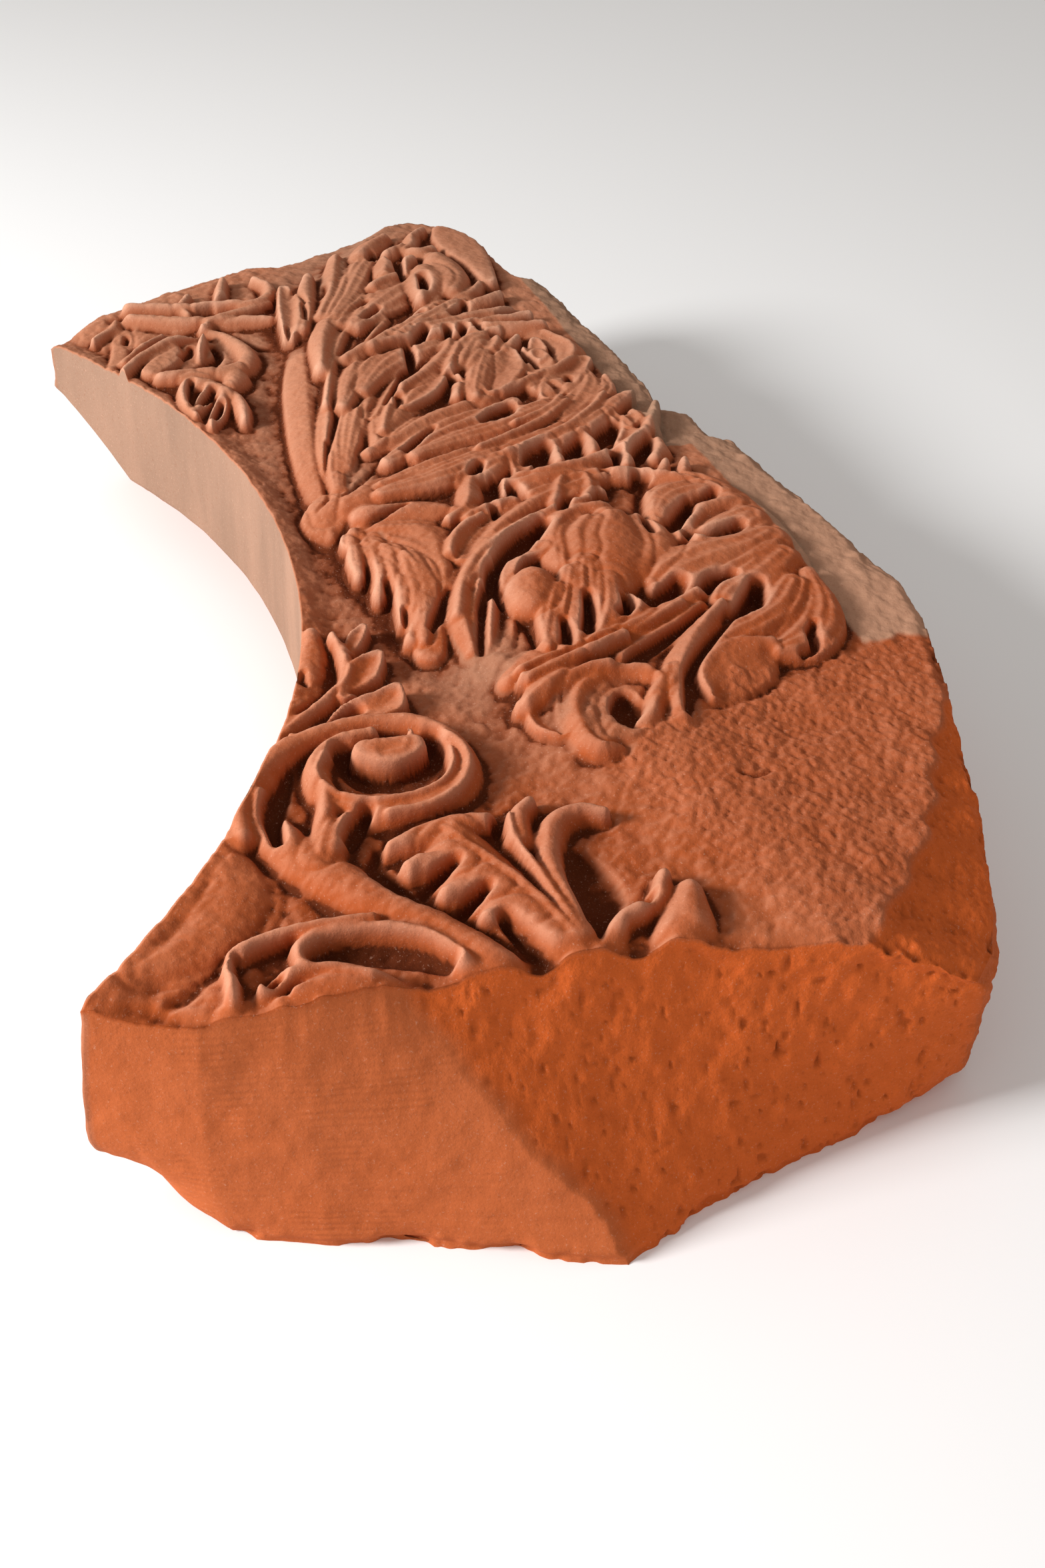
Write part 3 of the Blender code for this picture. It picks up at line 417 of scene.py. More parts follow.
    "flower in the scroll": """
dome 33 95,1440,14 128,1446,28 168,1434,30 210,1395,26
dome 42 78,1412,24 126,1388,46 180,1362,46 232,1348,20
round 38 54,1410,14 58,1368,20 88,1336,22 140,1318,20 186,1312,10
round 41 80,1380,14 112,1354,18 150,1344,18 186,1325,12
round 37 260,1362,10 284,1366,16 304,1346,14 318,1318,8
ribbed 38 222,1350,14 270,1334,18 316,1308,13 338,1286,5
ribbed 38 176,1338,14 240,1314,18 300,1286,13 338,1267,5
ribbed 36 190,1316,12 250,1288,16 308,1260,12 346,1247,5
ribbed 34 225,1284,12 275,1258,14 320,1238,10 342,1233,4
scoop 32 132,1296,10 138,1256,16 178,1226,18 240,1206,18 330,1184,8,-6
round 30 190,1206,8 250,1188,12 320,1168,7,-6""",
    "volute at the near end of the fan": """
pit -10 436,1290,12 458,1286,22 478,1280,15
scoop 12 384,1250,7 400,1216,12 430,1192,15 468,1184,13 492,1194,6
round 22 450,1318,6 428,1336,10 404,1322,13 398,1288,14 414,1252,15 444,1228,16 484,1218,15 518,1224,11
532,1244,5,-6
round 24 410,1352,6 436,1336,9 462,1316,9 486,1298,7 500,1280,4,-6""",
    "hollows of the near scroll": """
pit 6 62,1566,4 70,1554,7 76,1542,4
pit 0 76,1524,5 95,1508,10 116,1488,10 132,1478,6
pit 2 150,1562,5 158,1542,8 160,1515,6 148,1490,5
pit 0 256,1430,10 274,1404,16 282,1380,10
pit 0 258,1500,4 264,1474,7 280,1452,6
pit -2 284,1522,6 306,1508,12 324,1492,12 338,1470,5
pit 10 334,1468,3 366,1430,6 402,1392,6 430,1370,8 468,1354,9 494,1340,4
pit 8 312,1440,3 336,1404,5 360,1362,9 382,1326,11 396,1306,5
pit -4 84,1316,7 106,1288,15 132,1260,14 150,1238,6
pit 4 196,1204,4 226,1192,7 270,1176,6 320,1160,6
pit 8 104,1447,3 122,1447,5 140,1445,3
pit 6 256,1312,3 290,1302,6 328,1286,7
pit 6 296,1268,3 322,1262,6 342,1254,6
pit 6 232,1240,4 262,1232,7 300,1226,6 332,1222,3
pit 6 268,1356,4 290,1352,6 306,1338,5
pit 6 42,1364,3 56,1354,5 66,1350,3
pit 4 0,1492,8 30,1472,7 70,1456,5""",
    "ball in the near scroll": """
pit 0 150,1238,6 172,1222,8 216,1210,9 262,1222,7
dome 45 192,1268,22 212,1260,28 236,1250,23""",
    "cracks beside the near end": """
pit -15 806,932,1 816,908,2 824,890,2 812,868,2 800,846,2 788,822,1
pit -13 800,846,1 782,838,2 768,842,1
pit 2 590,1398,1 596,1376,2 588,1358,1""",
}


def read_strokes(text):
    """The strokes that a text tells: each a kind, a height and places."""
    strokes = []
    for word in text.split():
        if word.isalpha():
            strokes.append([word])
        else:
            numbers = tuple(int(number) for number in word.split(","))
            strokes[-1].append(numbers if len(numbers) > 1 else numbers[0])
    return strokes


def smooth(value):
    value = np.clip(value, 0.0, 1.0)
    return value * value * (3.0 - 2.0 * value)


def along(points, shares):
    """Points at the given shares of a polyline's length."""
    points = np.array(points, float)
    steps = np.linalg.norm(np.diff(points[:, :2], axis=0), axis=1)
    travelled = np.concatenate([[0.0], np.cumsum(steps)]) / steps.sum()
    return np.stack([np.interp(shares, travelled, column) for column in points.T], axis=1)


def curve(points, per_span=8):
    """A smooth Catmull-Rom curve through the points."""
    points = np.array(points, float)
    if len(points) < 3:
        return along(points, np.linspace(0.0, 1.0, per_span * 2))
    padded = np.vstack([2 * points[0] - points[1], points, 2 * points[-1] - points[-2]])
    steps = np.linspace(0.0, 1.0, per_span, endpoint=False)[:, None]
    spans = []
    for before, start, end, after in zip(padded, padded[1:], padded[2:], padded[3:]):
        spans.append(0.5 * (2 * start + (end - before) * steps
                            + (2 * before - 5 * start + 4 * end - after) * steps ** 2
                            + (3 * start - before - 3 * end + after) * steps ** 3))
    return np.vstack(spans + [points[-1:]])


def at_height(points, height):
    """Moves points read on the datum plane to where they stand at a height."""
    return SPOT[:2] + (np.array(points, float) - SPOT[:2]) * (SPOT[2] - height) / (SPOT[2] - DATUM)


def noise(points, size, seed):
    """Smooth noise from -1 to 1 over points in space, its lumps about as large as the size."""
    table = np.random.default_rng(seed).uniform(-1.0, 1.0, (32, 32, 32))
    scaled = np.asarray(points, float) / size
    cell = np.floor(scaled).astype(int)
    part = smooth(scaled - cell)
    total = 0.0
    for corner in np.ndindex(2, 2, 2):
        weight = np.prod(np.where(corner, part, 1.0 - part), axis=-1)
        index = (cell + corner) % 32
        total = total + weight * table[index[..., 0], index[..., 1], index[..., 2]]
    return total


def layered(points, size, seed, layers=3):
    return sum(noise(points, size / 2 ** k, seed + k) / 2 ** k for k in range(layers))


def blurred(field, reach):
    """Gaussian blur of a sheet, its reach in cells."""
    width = int(3 * reach) + 1
    weights = np.exp(-0.5 * (np.arange(-width, width + 1) / reach) ** 2)
    weights /= weights.sum()
    for _ in (0, 1):
        padded = np.pad(field, ((width, width), (0, 0)), mode="edge")
        total = 0.0
        for k, weight in enumerate(weights):
            total = total + padded[k:k + len(field)] * weight
        field = total.T
    return field


def hollow_line(x):
    return 1.045 + np.where(x > 0, 0.31 * np.abs(x) ** 1.6, 0.36 * np.abs(x) ** 3.4)


def fillet_line(x):
    return np.where(x > -0.10, 1.612 - 0.12 * (x - 0.15) ** 2, 1.56 - 0.16 * (x + 0.30) ** 2)


def lift(x, y):
    """The face stands a little higher towards its near end, and on the carving at its far end."""
    near = NEAR_LIFT * smooth((x - 0.10) / 0.45) * smooth((1.50 - y) / 0.30)
    far = FAR_LIFT * smooth((-x - 0.35) / 0.40) * smooth((np.hypot(x, y) - 1.0) / 0.10)
    return near + far


def beyond_chamfer(x, y):
    """How far a place lies outside the broken corner's inner edge."""
    line = np.array(CHAMFER_EDGE)
    waves = 0.006 * np.sin(41.0 * x + 17.0 * y) + 0.004 * np.sin(97.0 * x - 23.0 * y)
    crossing = np.interp(x, line[:, 0], line[:, 1], left=9.0, right=line[-1, 1])
    outside = (y - crossing) * 0.70 + waves
    past_end = (x - line[-1, 0]) * 0.9 + waves
    return np.clip(np.maximum(outside, np.where(y > line[-1, 1], past_end, -9.0)), 0.0, None)


def ground(x, y):
    """The face before its leaves are raised."""
    outward = y - hollow_line(x)
    to_fillet = fillet_line(x) - y
    panel = HOLLOW * smooth((np.hypot(x, y) - 1.0) / 0.04)
    fan = HOLLOW + (FAN_SWELL - HOLLOW) * smooth(outward / 0.12)
    fan -= FAN_SINK * smooth((outward - 0.16) / 0.10) + FAN_SINK * smooth((0.06 - to_fillet) / 0.06)
    face = np.where(outward > 0, fan, panel)
    face = np.where(to_fillet < 0, FILLET_RISE, face)
    edge = at_height(BROKEN_EDGE, BROKEN_HEIGHT)[::-1]
    broken = (x > np.interp(y, edge[:, 1], edge[:, 0])) & (outward > 0.0)
    bank = HOLLOW + (BROKEN_HEIGHT - HOLLOW) * smooth((outward + 0.01) / 0.16)
    face = np.where(broken, bank, face)
    beyond = beyond_chamfer(x, y)
    fall = CHAMFER_FALL * beyond + CHAMFER_STEP * smooth(beyond / 0.012)
    chamfered = np.minimum(face, BROKEN_HEIGHT - fall)
    return np.where(outward > 0, chamfered, face) + lift(x, y)


COLUMNS = np.arange(SHEET_LOW[0], SHEET_HIGH[0], PIXEL)
ROWS = np.arange(SHEET_LOW[1], SHEET_HIGH[1], PIXEL)


def window(low, high):
    """The part of the sheet between two corners, as slices with its places."""
    first = np.clip(((np.array(low) - SHEET_LOW) / PIXEL).astype(int), 0, None)
    last = ((np.array(high) - SHEET_LOW) / PIXEL).astype(int) + 2
    across, up = slice(first[0], last[0]), slice(first[1], last[1])
    x, y = np.meshgrid(COLUMNS[across], ROWS[up])
    return (up, across), x, y


def reach_of(line, x, y, margin):
    """For places near a line: distance to it, its half width there, the side and the rise."""
    best, half = np.full(x.shape, 9.0), np.ones(x.shape)
    side, rise = np.zeros(x.shape), np.zeros(x.shape)
    for start, end in zip(line, line[1:]):
        step = end[:2] - start[:2]
        length = math.hypot(*step)
        if length < 1e-7:
            continue
        span = max(start[2], end[2]) + margin
        low = np.minimum(start[:2], end[:2]) - span - (x[0, 0], y[0, 0])
        high = np.maximum(start[:2], end[:2]) + span - (x[0, 0], y[0, 0])
        i0, j0 = max(int(low[1] / PIXEL), 0), max(int(low[0] / PIXEL), 0)
        part = (slice(i0, int(high[1] / PIXEL) + 2), slice(j0, int(high[0] / PIXEL) + 2))
        dx, dy = x[part] - start[0], y[part] - start[1]
        share = np.clip((dx * step[0] + dy * step[1]) / length ** 2, 0.0, 1.0)
        away = np.hypot(dx - share * step[0], dy - share * step[1])
        width = start[2] + share * (end[2] - start[2])
        closer = away - width < (best[part] - half[part])
        values = (away, width, np.sign(step[0] * dy - step[1] * dx), start[3] + share * (end[3] - start[3]))
        for field, value in zip((best, half, side, rise), values):
            field[part] = np.where(closer, value, field[part])
    return best, half, side, rise


def section(kind, u):
    """Share of the thickness that a stroke keeps at a place across its width."""
    a = np.abs(u)
    if kind == "scoop":
        return 0.45 + 0.50 * a ** 1.6 - 0.35 * smooth((a - 0.84) / 0.16)
    if kind == "ribbed":
        return 0.86 - 0.55 * a ** 2.5 + 0.14 * (1.0 - np.abs(np.sin(2.0 * math.pi * u)))
    if kind == "plump":
        return 1.0 - a ** 2.4
    if kind == "keeled":
        return 0.45 * np.sqrt(np.clip(1.0 - a ** 2, 0.0, 1.0)) + 0.55 * (1.0 - a ** 1.15)
    if kind == "left":
        return 0.55 + 0.40 * u - 0.4 * smooth((a - 0.85) / 0.15)
    if kind == "right":
        return 0.55 - 0.40 * u - 0.4 * smooth((a - 0.85) / 0.15)
    if kind == "flat":
        return 1.0 - 0.30 * a ** 4
    if kind == "ridge":
        return 1.0 - a ** 1.3
    return np.sqrt(np.clip(1.0 - a ** 2, 0.0, 1.0))


def carve(face, stroke):
    """Raises one stroke out of the face with a cut around it, or sinks one pit."""
    kind, top, *points = stroke
    thick, moat = KINDS[kind]
    if kind == "round" and top >= KEELED_FROM:
        kind = "keeled"
    points = [tuple(point) + (0,) * (4 - len(point)) for point in points]
    if len(points) == 1:
        points.append((points[0][0] + 0.1, *points[0][1:]))
    line = curve(np.array(points, float) / 1000.0)
    middle = line[len(line) // 2]
    raised_by = float(lift(middle[0], middle[1]))
    top = top / 1000.0 + raised_by
    on_panel = middle[1] < hollow_line(middle[0]) - 0.01
    opening = (PANEL_OPENING if on_panel else FAN_OPENING) + raised_by - top if kind == "pit" else 0.0
    if kind == "pit":
        line[:, 2] *= PIT_WIDTH
    elif not on_panel:
        line[:, 2] = line[:, 2] * WIDER + WIDER_BY
    elif kind == "round":
        kind, thick = "plump", PLUMP_DROP
        line[:, 2] += WIDER_BY
    line[:, :2] = at_height(line[:, :2], top + opening + line[:, 3:4])
    line[:, 2] = np.maximum(line[:, 2], THINNEST)
    reach = line[:, 2].max() + CUT_REACH
    place, x, y = window(line[:, :2].min(axis=0) - reach, line[:, :2].max(axis=0) + reach)
    away, half, side, rise = reach_of(line, x, y, CUT_REACH)
    here = face[place]
    outside = away - half
    u = np.clip(away / half, 0.0, 1.0) * side
    if kind == "pit":
        floor = top + rise + thick * np.abs(u) ** 3 + 4.0 * np.clip(outside, 0.0, None)
        face[place] = np.where(outside < CUT_REACH, np.minimum(here, floor), here)
        return
    groove = moat * np.clip(1.0 - outside / CUT_REACH, 0.0, 1.0) ** 2 * (outside >= 0)
    drop = thick * np.clip(half / FULL_DROP_WIDTH, 0.30, 1.0)
    raised = top + rise - drop * (1.0 - section(kind, u))
    ribs = np.cos(2 * math.pi * u * half / RIB_SPACING) * smooth((half - 0.009) / 0.006) * (1.0 - u ** 4)
    raised = raised + RIB_HEIGHT * ribs
    face[place] = np.where(outside < 0, np.maximum(here, raised), here - groove)


def wear(x, y):
    """How far the face's places are from each rim, and how far they are broken or dressed."""
    near_rim = np.interp(y, *np.array(NEAR_EDGE)[:, ::-1].T) - x
    far_rim = (x - np.interp(y, *np.array(FAR_EDGE)[:, ::-1].T)) * 0.85
    outer_rim = np.interp(x, *np.array(OUTER_EDGE).T) - y
    outer_rim = np.where(x < OUTER_EDGE[0][0], 9.0, outer_rim)
    edge = at_height(BROKEN_EDGE, BROKEN_HEIGHT)[::-1]
    ragged = 0.010 * np.sin(52.0 * y) + 0.006 * np.sin(131.0 * y + 1.0)
    outward = y - hollow_line(x)
    past_edge = smooth((x - ragged - np.interp(y, edge[:, 1], edge[:, 0])) / 0.008)
    broken = np.maximum(past_edge * smooth((outward - 0.03) / 0.05), smooth(beyond_chamfer(x, y) / 0.004))
    fillet = smooth((y - fillet_line(x)) / 0.004) * (1.0 - broken) * smooth((0.41 - x) / 0.01)
    return {"near": near_rim, "far": far_rim, "outer": outer_rim, "broken": broken, "dressed": fillet}


def weathered(face, bare, x, y):
    """The carved face after centuries: worn and ragged rims, a broken corner, picked grounds, grain."""
    marks = wear(x, y)
    places = np.dstack([x, y, 0.0 * x])
    coarse = layered(places, 0.060, 41, 2)
    lumps = layered(places, 0.016, 51, 2)
    grit = layered(places, 0.0048, 61, 2)
    low = blurred(face, 9.0)
    for rim_name, (reach, fall) in WORN_RIMS.items():
        away = marks[rim_name] + 0.005 * coarse + 0.003 * lumps
        kept = smooth(away / reach)
        face = low * (1.0 - kept) + face * kept
        face = face - fall * (1.0 - smooth(away / (0.8 * reach))) * (0.65 + 0.5 * lumps)
    broken = marks["broken"]
    waves, bumps, grains = BROKEN_GRAIN
    face = face + broken * (waves * coarse + bumps * lumps + grains * grit)
    open_ground = 1.0 - smooth((face - bare) / 0.004)
    rows = np.sin(2 * math.pi * (0.55 * x + 0.83 * y) / 0.015 + 2.0 * coarse)
    strikes = np.sin(2 * math.pi * (0.83 * x - 0.55 * y) / 0.021 + 3.0 * rows)
    pecks = np.clip(rows, 0.0, 1.0) * np.clip(strikes, 0.0, 1.0)
    dressed = marks["dressed"]
    picked = open_ground * (1.0 - broken) * (1.0 - dressed)
    face = face - picked * (PICK_DEPTH * pecks - PICK_DEPTH * lumps)
    marks["dusty"] = open_ground * (1.0 - broken) * np.exp(-((y - hollow_line(x) - 0.04) / 0.09) ** 2)
    marks["dusty"] *= smooth((0.66 - x) / 0.30)
    combed = np.sin(2 * math.pi * (0.35 * x + y) / 0.0075 + 1.5 * lumps)
    face = face + dressed * (0.0002 * combed + 0.0010 * lumps)
    return face + (1.0 - broken) * (0.0007 * lumps + 0.0006 * grit + 0.0006 * coarse), marks


def patch(inner, outer, far, near):
    """Fills the four edges with a grid of points, rows from the soffit outward."""
    across = np.linspace(0.0, 1.0, len(inner))[:, None, None]
    out = np.linspace(0.0, 1.0, len(far))[None, :, None]
    sides = ((1 - out) * inner[:, None] + out * outer[:, None]
             + (1 - across) * far[None] + across * near[None])
    corners = ((1 - across) * (1 - out) * far[0] + across * (1 - out) * near[0]
               + (1 - across) * out * far[-1] + across * out * near[-1])
    return sides - corners


def arc(radius, shares):
    angle = FAR_ANGLE + (NEAR_ANGLE - FAR_ANGLE) * shares
    return np.stack([radius * np.sin(angle), radius * np.cos(angle)], axis=1)


def rim(grid):
    """The outline of a grid, once around: soffit, near end, outer side, far end."""
    return np.concatenate([grid[:-1, 0], grid[-1, :-1], grid[:0:-1, -1], grid[0, :0:-1]])


def sampled(field, x, y):
    """Values of the sheet at places on it."""
    column = np.clip((x - SHEET_LOW[0]) / PIXEL, 0, field.shape[1] - 1.001)
    row = np.clip((y - SHEET_LOW[1]) / PIXEL, 0, field.shape[0] - 1.001)
    j, i = column.astype(int), row.astype(int)
    u, v = column - j, row - i
    return ((field[i, j] * (1 - u) + field[i, j + 1] * u) * (1 - v)
            + (field[i + 1, j] * (1 - u) + field[i + 1, j + 1] * u) * v)


def key_rings(plan, heights):
    """Rings that the sides pass through, in metres: face's edge, strip below it, soffit's foot, back."""
    run = np.linspace(0.0, 1.0, CELLS_ALONG + 1)
    out = np.linspace(0.0, 1.0, CELLS_ACROSS + 1)
    far, near, outer = along(FAR_EDGE, out), along(NEAR_EDGE, out), along(OUTER_EDGE, run)

    def ring(depth, share, set_in):
        swell = NEAR_BULGE * np.interp(out, BULGE_AT, BULGE_SHARES) * share
        near_side = near * RADIUS + np.stack([swell, CORNER_DRIFT * share * out ** 4], axis=1)
        far_side = far * RADIUS + [END_SET_IN * share, 0.0]
        bow = END_SET_IN * share * np.sin(math.pi * run)
        outer_side = outer * RADIUS - np.stack([0.0 * run, bow], axis=1)
        outer_side += (1 - run)[:, None] * (far_side[-1] - outer_side[0])
        outer_side += (run ** 4)[:, None] * (near_side[-1] - outer_side[-1])
        inner = arc(1.0 + set_in / RADIUS, run) * RADIUS
        around = rim(patch(inner, outer_side, far_side, near_side))
        return np.column_stack([around, -np.resize(depth, len(around))])

    broken = np.zeros(2 * (CELLS_ALONG + CELLS_ACROSS))
    tip = int(CELLS_ALONG * BROKEN_TIP)
    broken[:tip] = np.linspace(1.0, 0.0, tip)
    broken[-tip // 2:] = np.linspace(0.3, 1.0, len(broken[-tip // 2:]))
    soffit_foot = SOFFIT_DEPTH - (SOFFIT_DEPTH - EDGE_DEPTH - 0.02) * broken
    leaned = FAR_SET_IN + (NEAR_SET_IN - FAR_SET_IN) * run
    top = rim(np.dstack([plan, heights])) * RADIUS
    strip = ring(EDGE_DEPTH, EDGE_DEPTH / BLOCK_DEPTH, 0.0 * run)
    middle = ring(soffit_foot, SOFFIT_DEPTH / BLOCK_DEPTH, 0.0 * run)
    lower = np.clip((0.012 - top[:, 2] - EDGE_DEPTH) / (-middle[:, 2] - EDGE_DEPTH), 0.0, 0.9)
    strip += (middle - strip) * lower[:, None]
    return [top, strip, middle, ring(BLOCK_DEPTH, 1.0, leaned)]


def walls(keys):
    """All rows of the sides below the face's edge, top to bottom."""
    marks = np.array([0.0, 0.17, 0.62, 1.0])
    rows = []
    for share in np.linspace(0.0, 1.0, WALL_ROWS + 1)[1:]:
        k = min(int(np.searchsorted(marks, share)) - 1, 2)
        t = (share - marks[k]) / (marks[k + 1] - marks[k])
        rows.append(keys[k] * (1 - t) + keys[k + 1] * t)
    return np.array(rows)


def side_marks():
    """For each place around the rim: how far it is soffit, near end, outer side and far end."""
    names, counts = ("soffit", "near", "outer", "far"), (CELLS_ALONG, CELLS_ACROSS) * 2
    entries = np.repeat(names, counts)
    marks = {}
    for name in names:
        flags = np.where(entries == name, 1.0, 0.0)
        wrapped = np.concatenate([flags[-3:], flags, flags[:3]])
        marks[name] = np.convolve(wrapped, np.ones(7) / 7, mode="valid")
    return marks


def shaped(rows):
    """The near end's two facets with the slanting ridge between them, and its worn and chipped corners."""
    depth = -rows[..., 2]
    share = depth / BLOCK_DEPTH
    place = np.arange(rows.shape[1])
    out = np.clip((place - CELLS_ALONG) / CELLS_ACROSS, 0.0, 1.0)[None] + 0.0 * share
    on_end = ((place >= CELLS_ALONG) & (place <= CELLS_ALONG + CELLS_ACROSS))[None]
    ridge = RIDGE_TOP + (RIDGE_FOOT - RIDGE_TOP) * np.clip(share, 0.0, 1.0)
    ridge = ridge + RIDGE_WAVER * layered(rows * (0.0, 0.0, 1.0), 0.030, 91, 3)
    warped = np.where(out < ridge, out * RIDGE_FOOT / ridge,
                      RIDGE_FOOT + (out - ridge) * (1.0 - RIDGE_FOOT) / (1.0 - ridge))
    bulge = np.interp(warped, BULGE_AT, BULGE_SHARES) - np.interp(out, BULGE_AT, BULGE_SHARES)
    moved = rows.copy()
    moved[..., 0] += np.where(on_end, NEAR_BULGE * share * bulge, 0.0)
    corner = np.exp(-(np.abs(place - CELLS_ALONG) / 38.0) ** 2)[None] + 0.0 * share
    belly = np.sin(math.pi * np.clip(share, 0.0, 1.0))
    chip = smooth((share - 0.55) / 0.45) * np.exp(-(np.abs(place - CELLS_ALONG) / 22.0) ** 2)[None]
    moved[..., 1] += corner * (0.020 * chip - 0.011 * belly)
    moved[..., 0] -= 0.026 * chip
    moved[..., 2] *= 1.0 - 0.11 * chip
    return moved, np.where(on_end, smooth((out - ridge) / 0.03), 0.0)


def roughened(rows):
    """The sides with their tooling and breaks: smooth soffit, rough back, ends and outer side."""
    marks = side_marks()
    rows, turned = shaped(rows)
    ahead = np.roll(rows, -2, axis=1) - np.roll(rows, 2, axis=1)
    outward = np.dstack([ahead[..., 1], -ahead[..., 0]])
    outward /= np.linalg.norm(outward, axis=-1, keepdims=True) + 1e-9
    depth = -rows[..., 2]
    fade = smooth((rows[:1, :, 2] - rows[..., 2]) / 0.016)
    big = layered(rows, 0.075, 11, 3)
    middling = layered(rows, 0.022, 21, 3)
    fine = layered(rows, 0.009, 31, 2)
    below = smooth((depth - SOFFIT_DEPTH) / 0.01)
    soffit = marks["soffit"] * (1 - below)
    back = marks["soffit"] * below
    rough = np.clip(back + marks["outer"] + marks["far"], 0, 1)
    beyond = marks["near"] * turned
    tooled = marks["near"] * (1 - turned)
    toward_far = np.clip((np.arange(rows.shape[1]) - CELLS_ALONG - CELLS_ACROSS) / CELLS_ALONG, 0.0, 1.0)
    # Painted shade: the facet turned from the lamp, and the outer side towards the near end, are marked for
    # a saturated orange.
    painted_shade = np.clip(beyond + 0.45 * marks["outer"] * smooth(1.0 - toward_far), 0, 1)
    dents = np.clip(noise(rows * (1.4, 1.4, 0.8), 0.009, 81) - 0.56, 0.0, None)
    dents += 0.7 * np.clip(noise(rows * (1.4, 1.4, 0.8), 0.006, 82) - 0.58, 0.0, None)
    amount = 0.0
    for kind, share in {"rough": rough, "beyond": beyond, "tooled": tooled, "soffit": soffit}.items():
        lumps, bumps, grains, pocks = SIDE_GRAIN[kind]
        amount = amount + share * (lumps * big + bumps * middling + grains * fine - pocks * dents)
    foot = smooth((depth - 0.80 * BLOCK_DEPTH) / (0.20 * BLOCK_DEPTH))
    chips = np.clip(0.35 + big + 0.6 * middling, 0.0, 1.2)
    amount -= (1.0 - soffit) * foot ** 2 * (0.010 * chips + 0.004 * smooth((foot - 0.8) / 0.2))
    moved = rows.copy()
    moved[..., :2] += outward * (amount * fade)[..., None]
    # Painted shade: the dents on the turned facet are marked to be darkened.
    tags = {"soffit": soffit, "tooled": tooled, "turned": painted_shade,
            "broken": np.clip(rough + beyond, 0, 1), "cavity": np.clip(1.4 * dents * beyond, 0, 1)}
    return moved, {name: np.broadcast_to(tag, rows.shape[:2]) for name, tag in tags.items()}


def add_piece(name, points, normals, tags, quads, plates):
    """One closed piece of the block, from its share of the points."""
    corners = np.concatenate([quads.ravel()] + [np.array(plate) for plate in plates])
    used = np.unique(corners)
    renumber = np.full(len(points), -1)
    renumber[used] = np.arange(len(used))
    sizes = np.array([4] * len(quads) + [len(plate) for plate in plates])
    starts = np.concatenate([[0], np.cumsum(sizes)[:-1]])
    data = bpy.data.meshes.new(name)
    data.vertices.add(len(used))
    data.vertices.foreach_set("co", points[used].ravel())
    data.loops.add(len(corners))
    data.loops.foreach_set("vertex_index", renumber[corners])
    data.polygons.add(len(sizes))
    data.polygons.foreach_set("loop_start", starts)
    data.update(calc_edges=True)
    data.validate()
    loop_normals = normals[corners].copy()
    for start, plate in zip(starts[len(quads):], plates):
        face = data.polygons[int(np.searchsorted(starts, start))]
        loop_normals[start:start + len(plate)] = face.normal
    data.shade_smooth()
    rim_edges = np.zeros(len(data.loops), np.int32)
    data.loops.foreach_get("edge_index", rim_edges)
    sharp = np.zeros(len(data.edges), bool)
    sharp[rim_edges[4 * len(quads):]] = True
    data.attributes.new("sharp_edge", "BOOLEAN", "EDGE").data.foreach_set("value", sharp)
    data.normals_split_custom_set(loop_normals.tolist())
    for tag, values in tags.items():
        layer = data.attributes.new(tag, "FLOAT", "POINT")
        layer.data.foreach_set("value", values[used].astype(np.float32))
    piece = bpy.data.objects.new(name, data)
    bpy.context.scene.collection.objects.link(piece)
    return piece


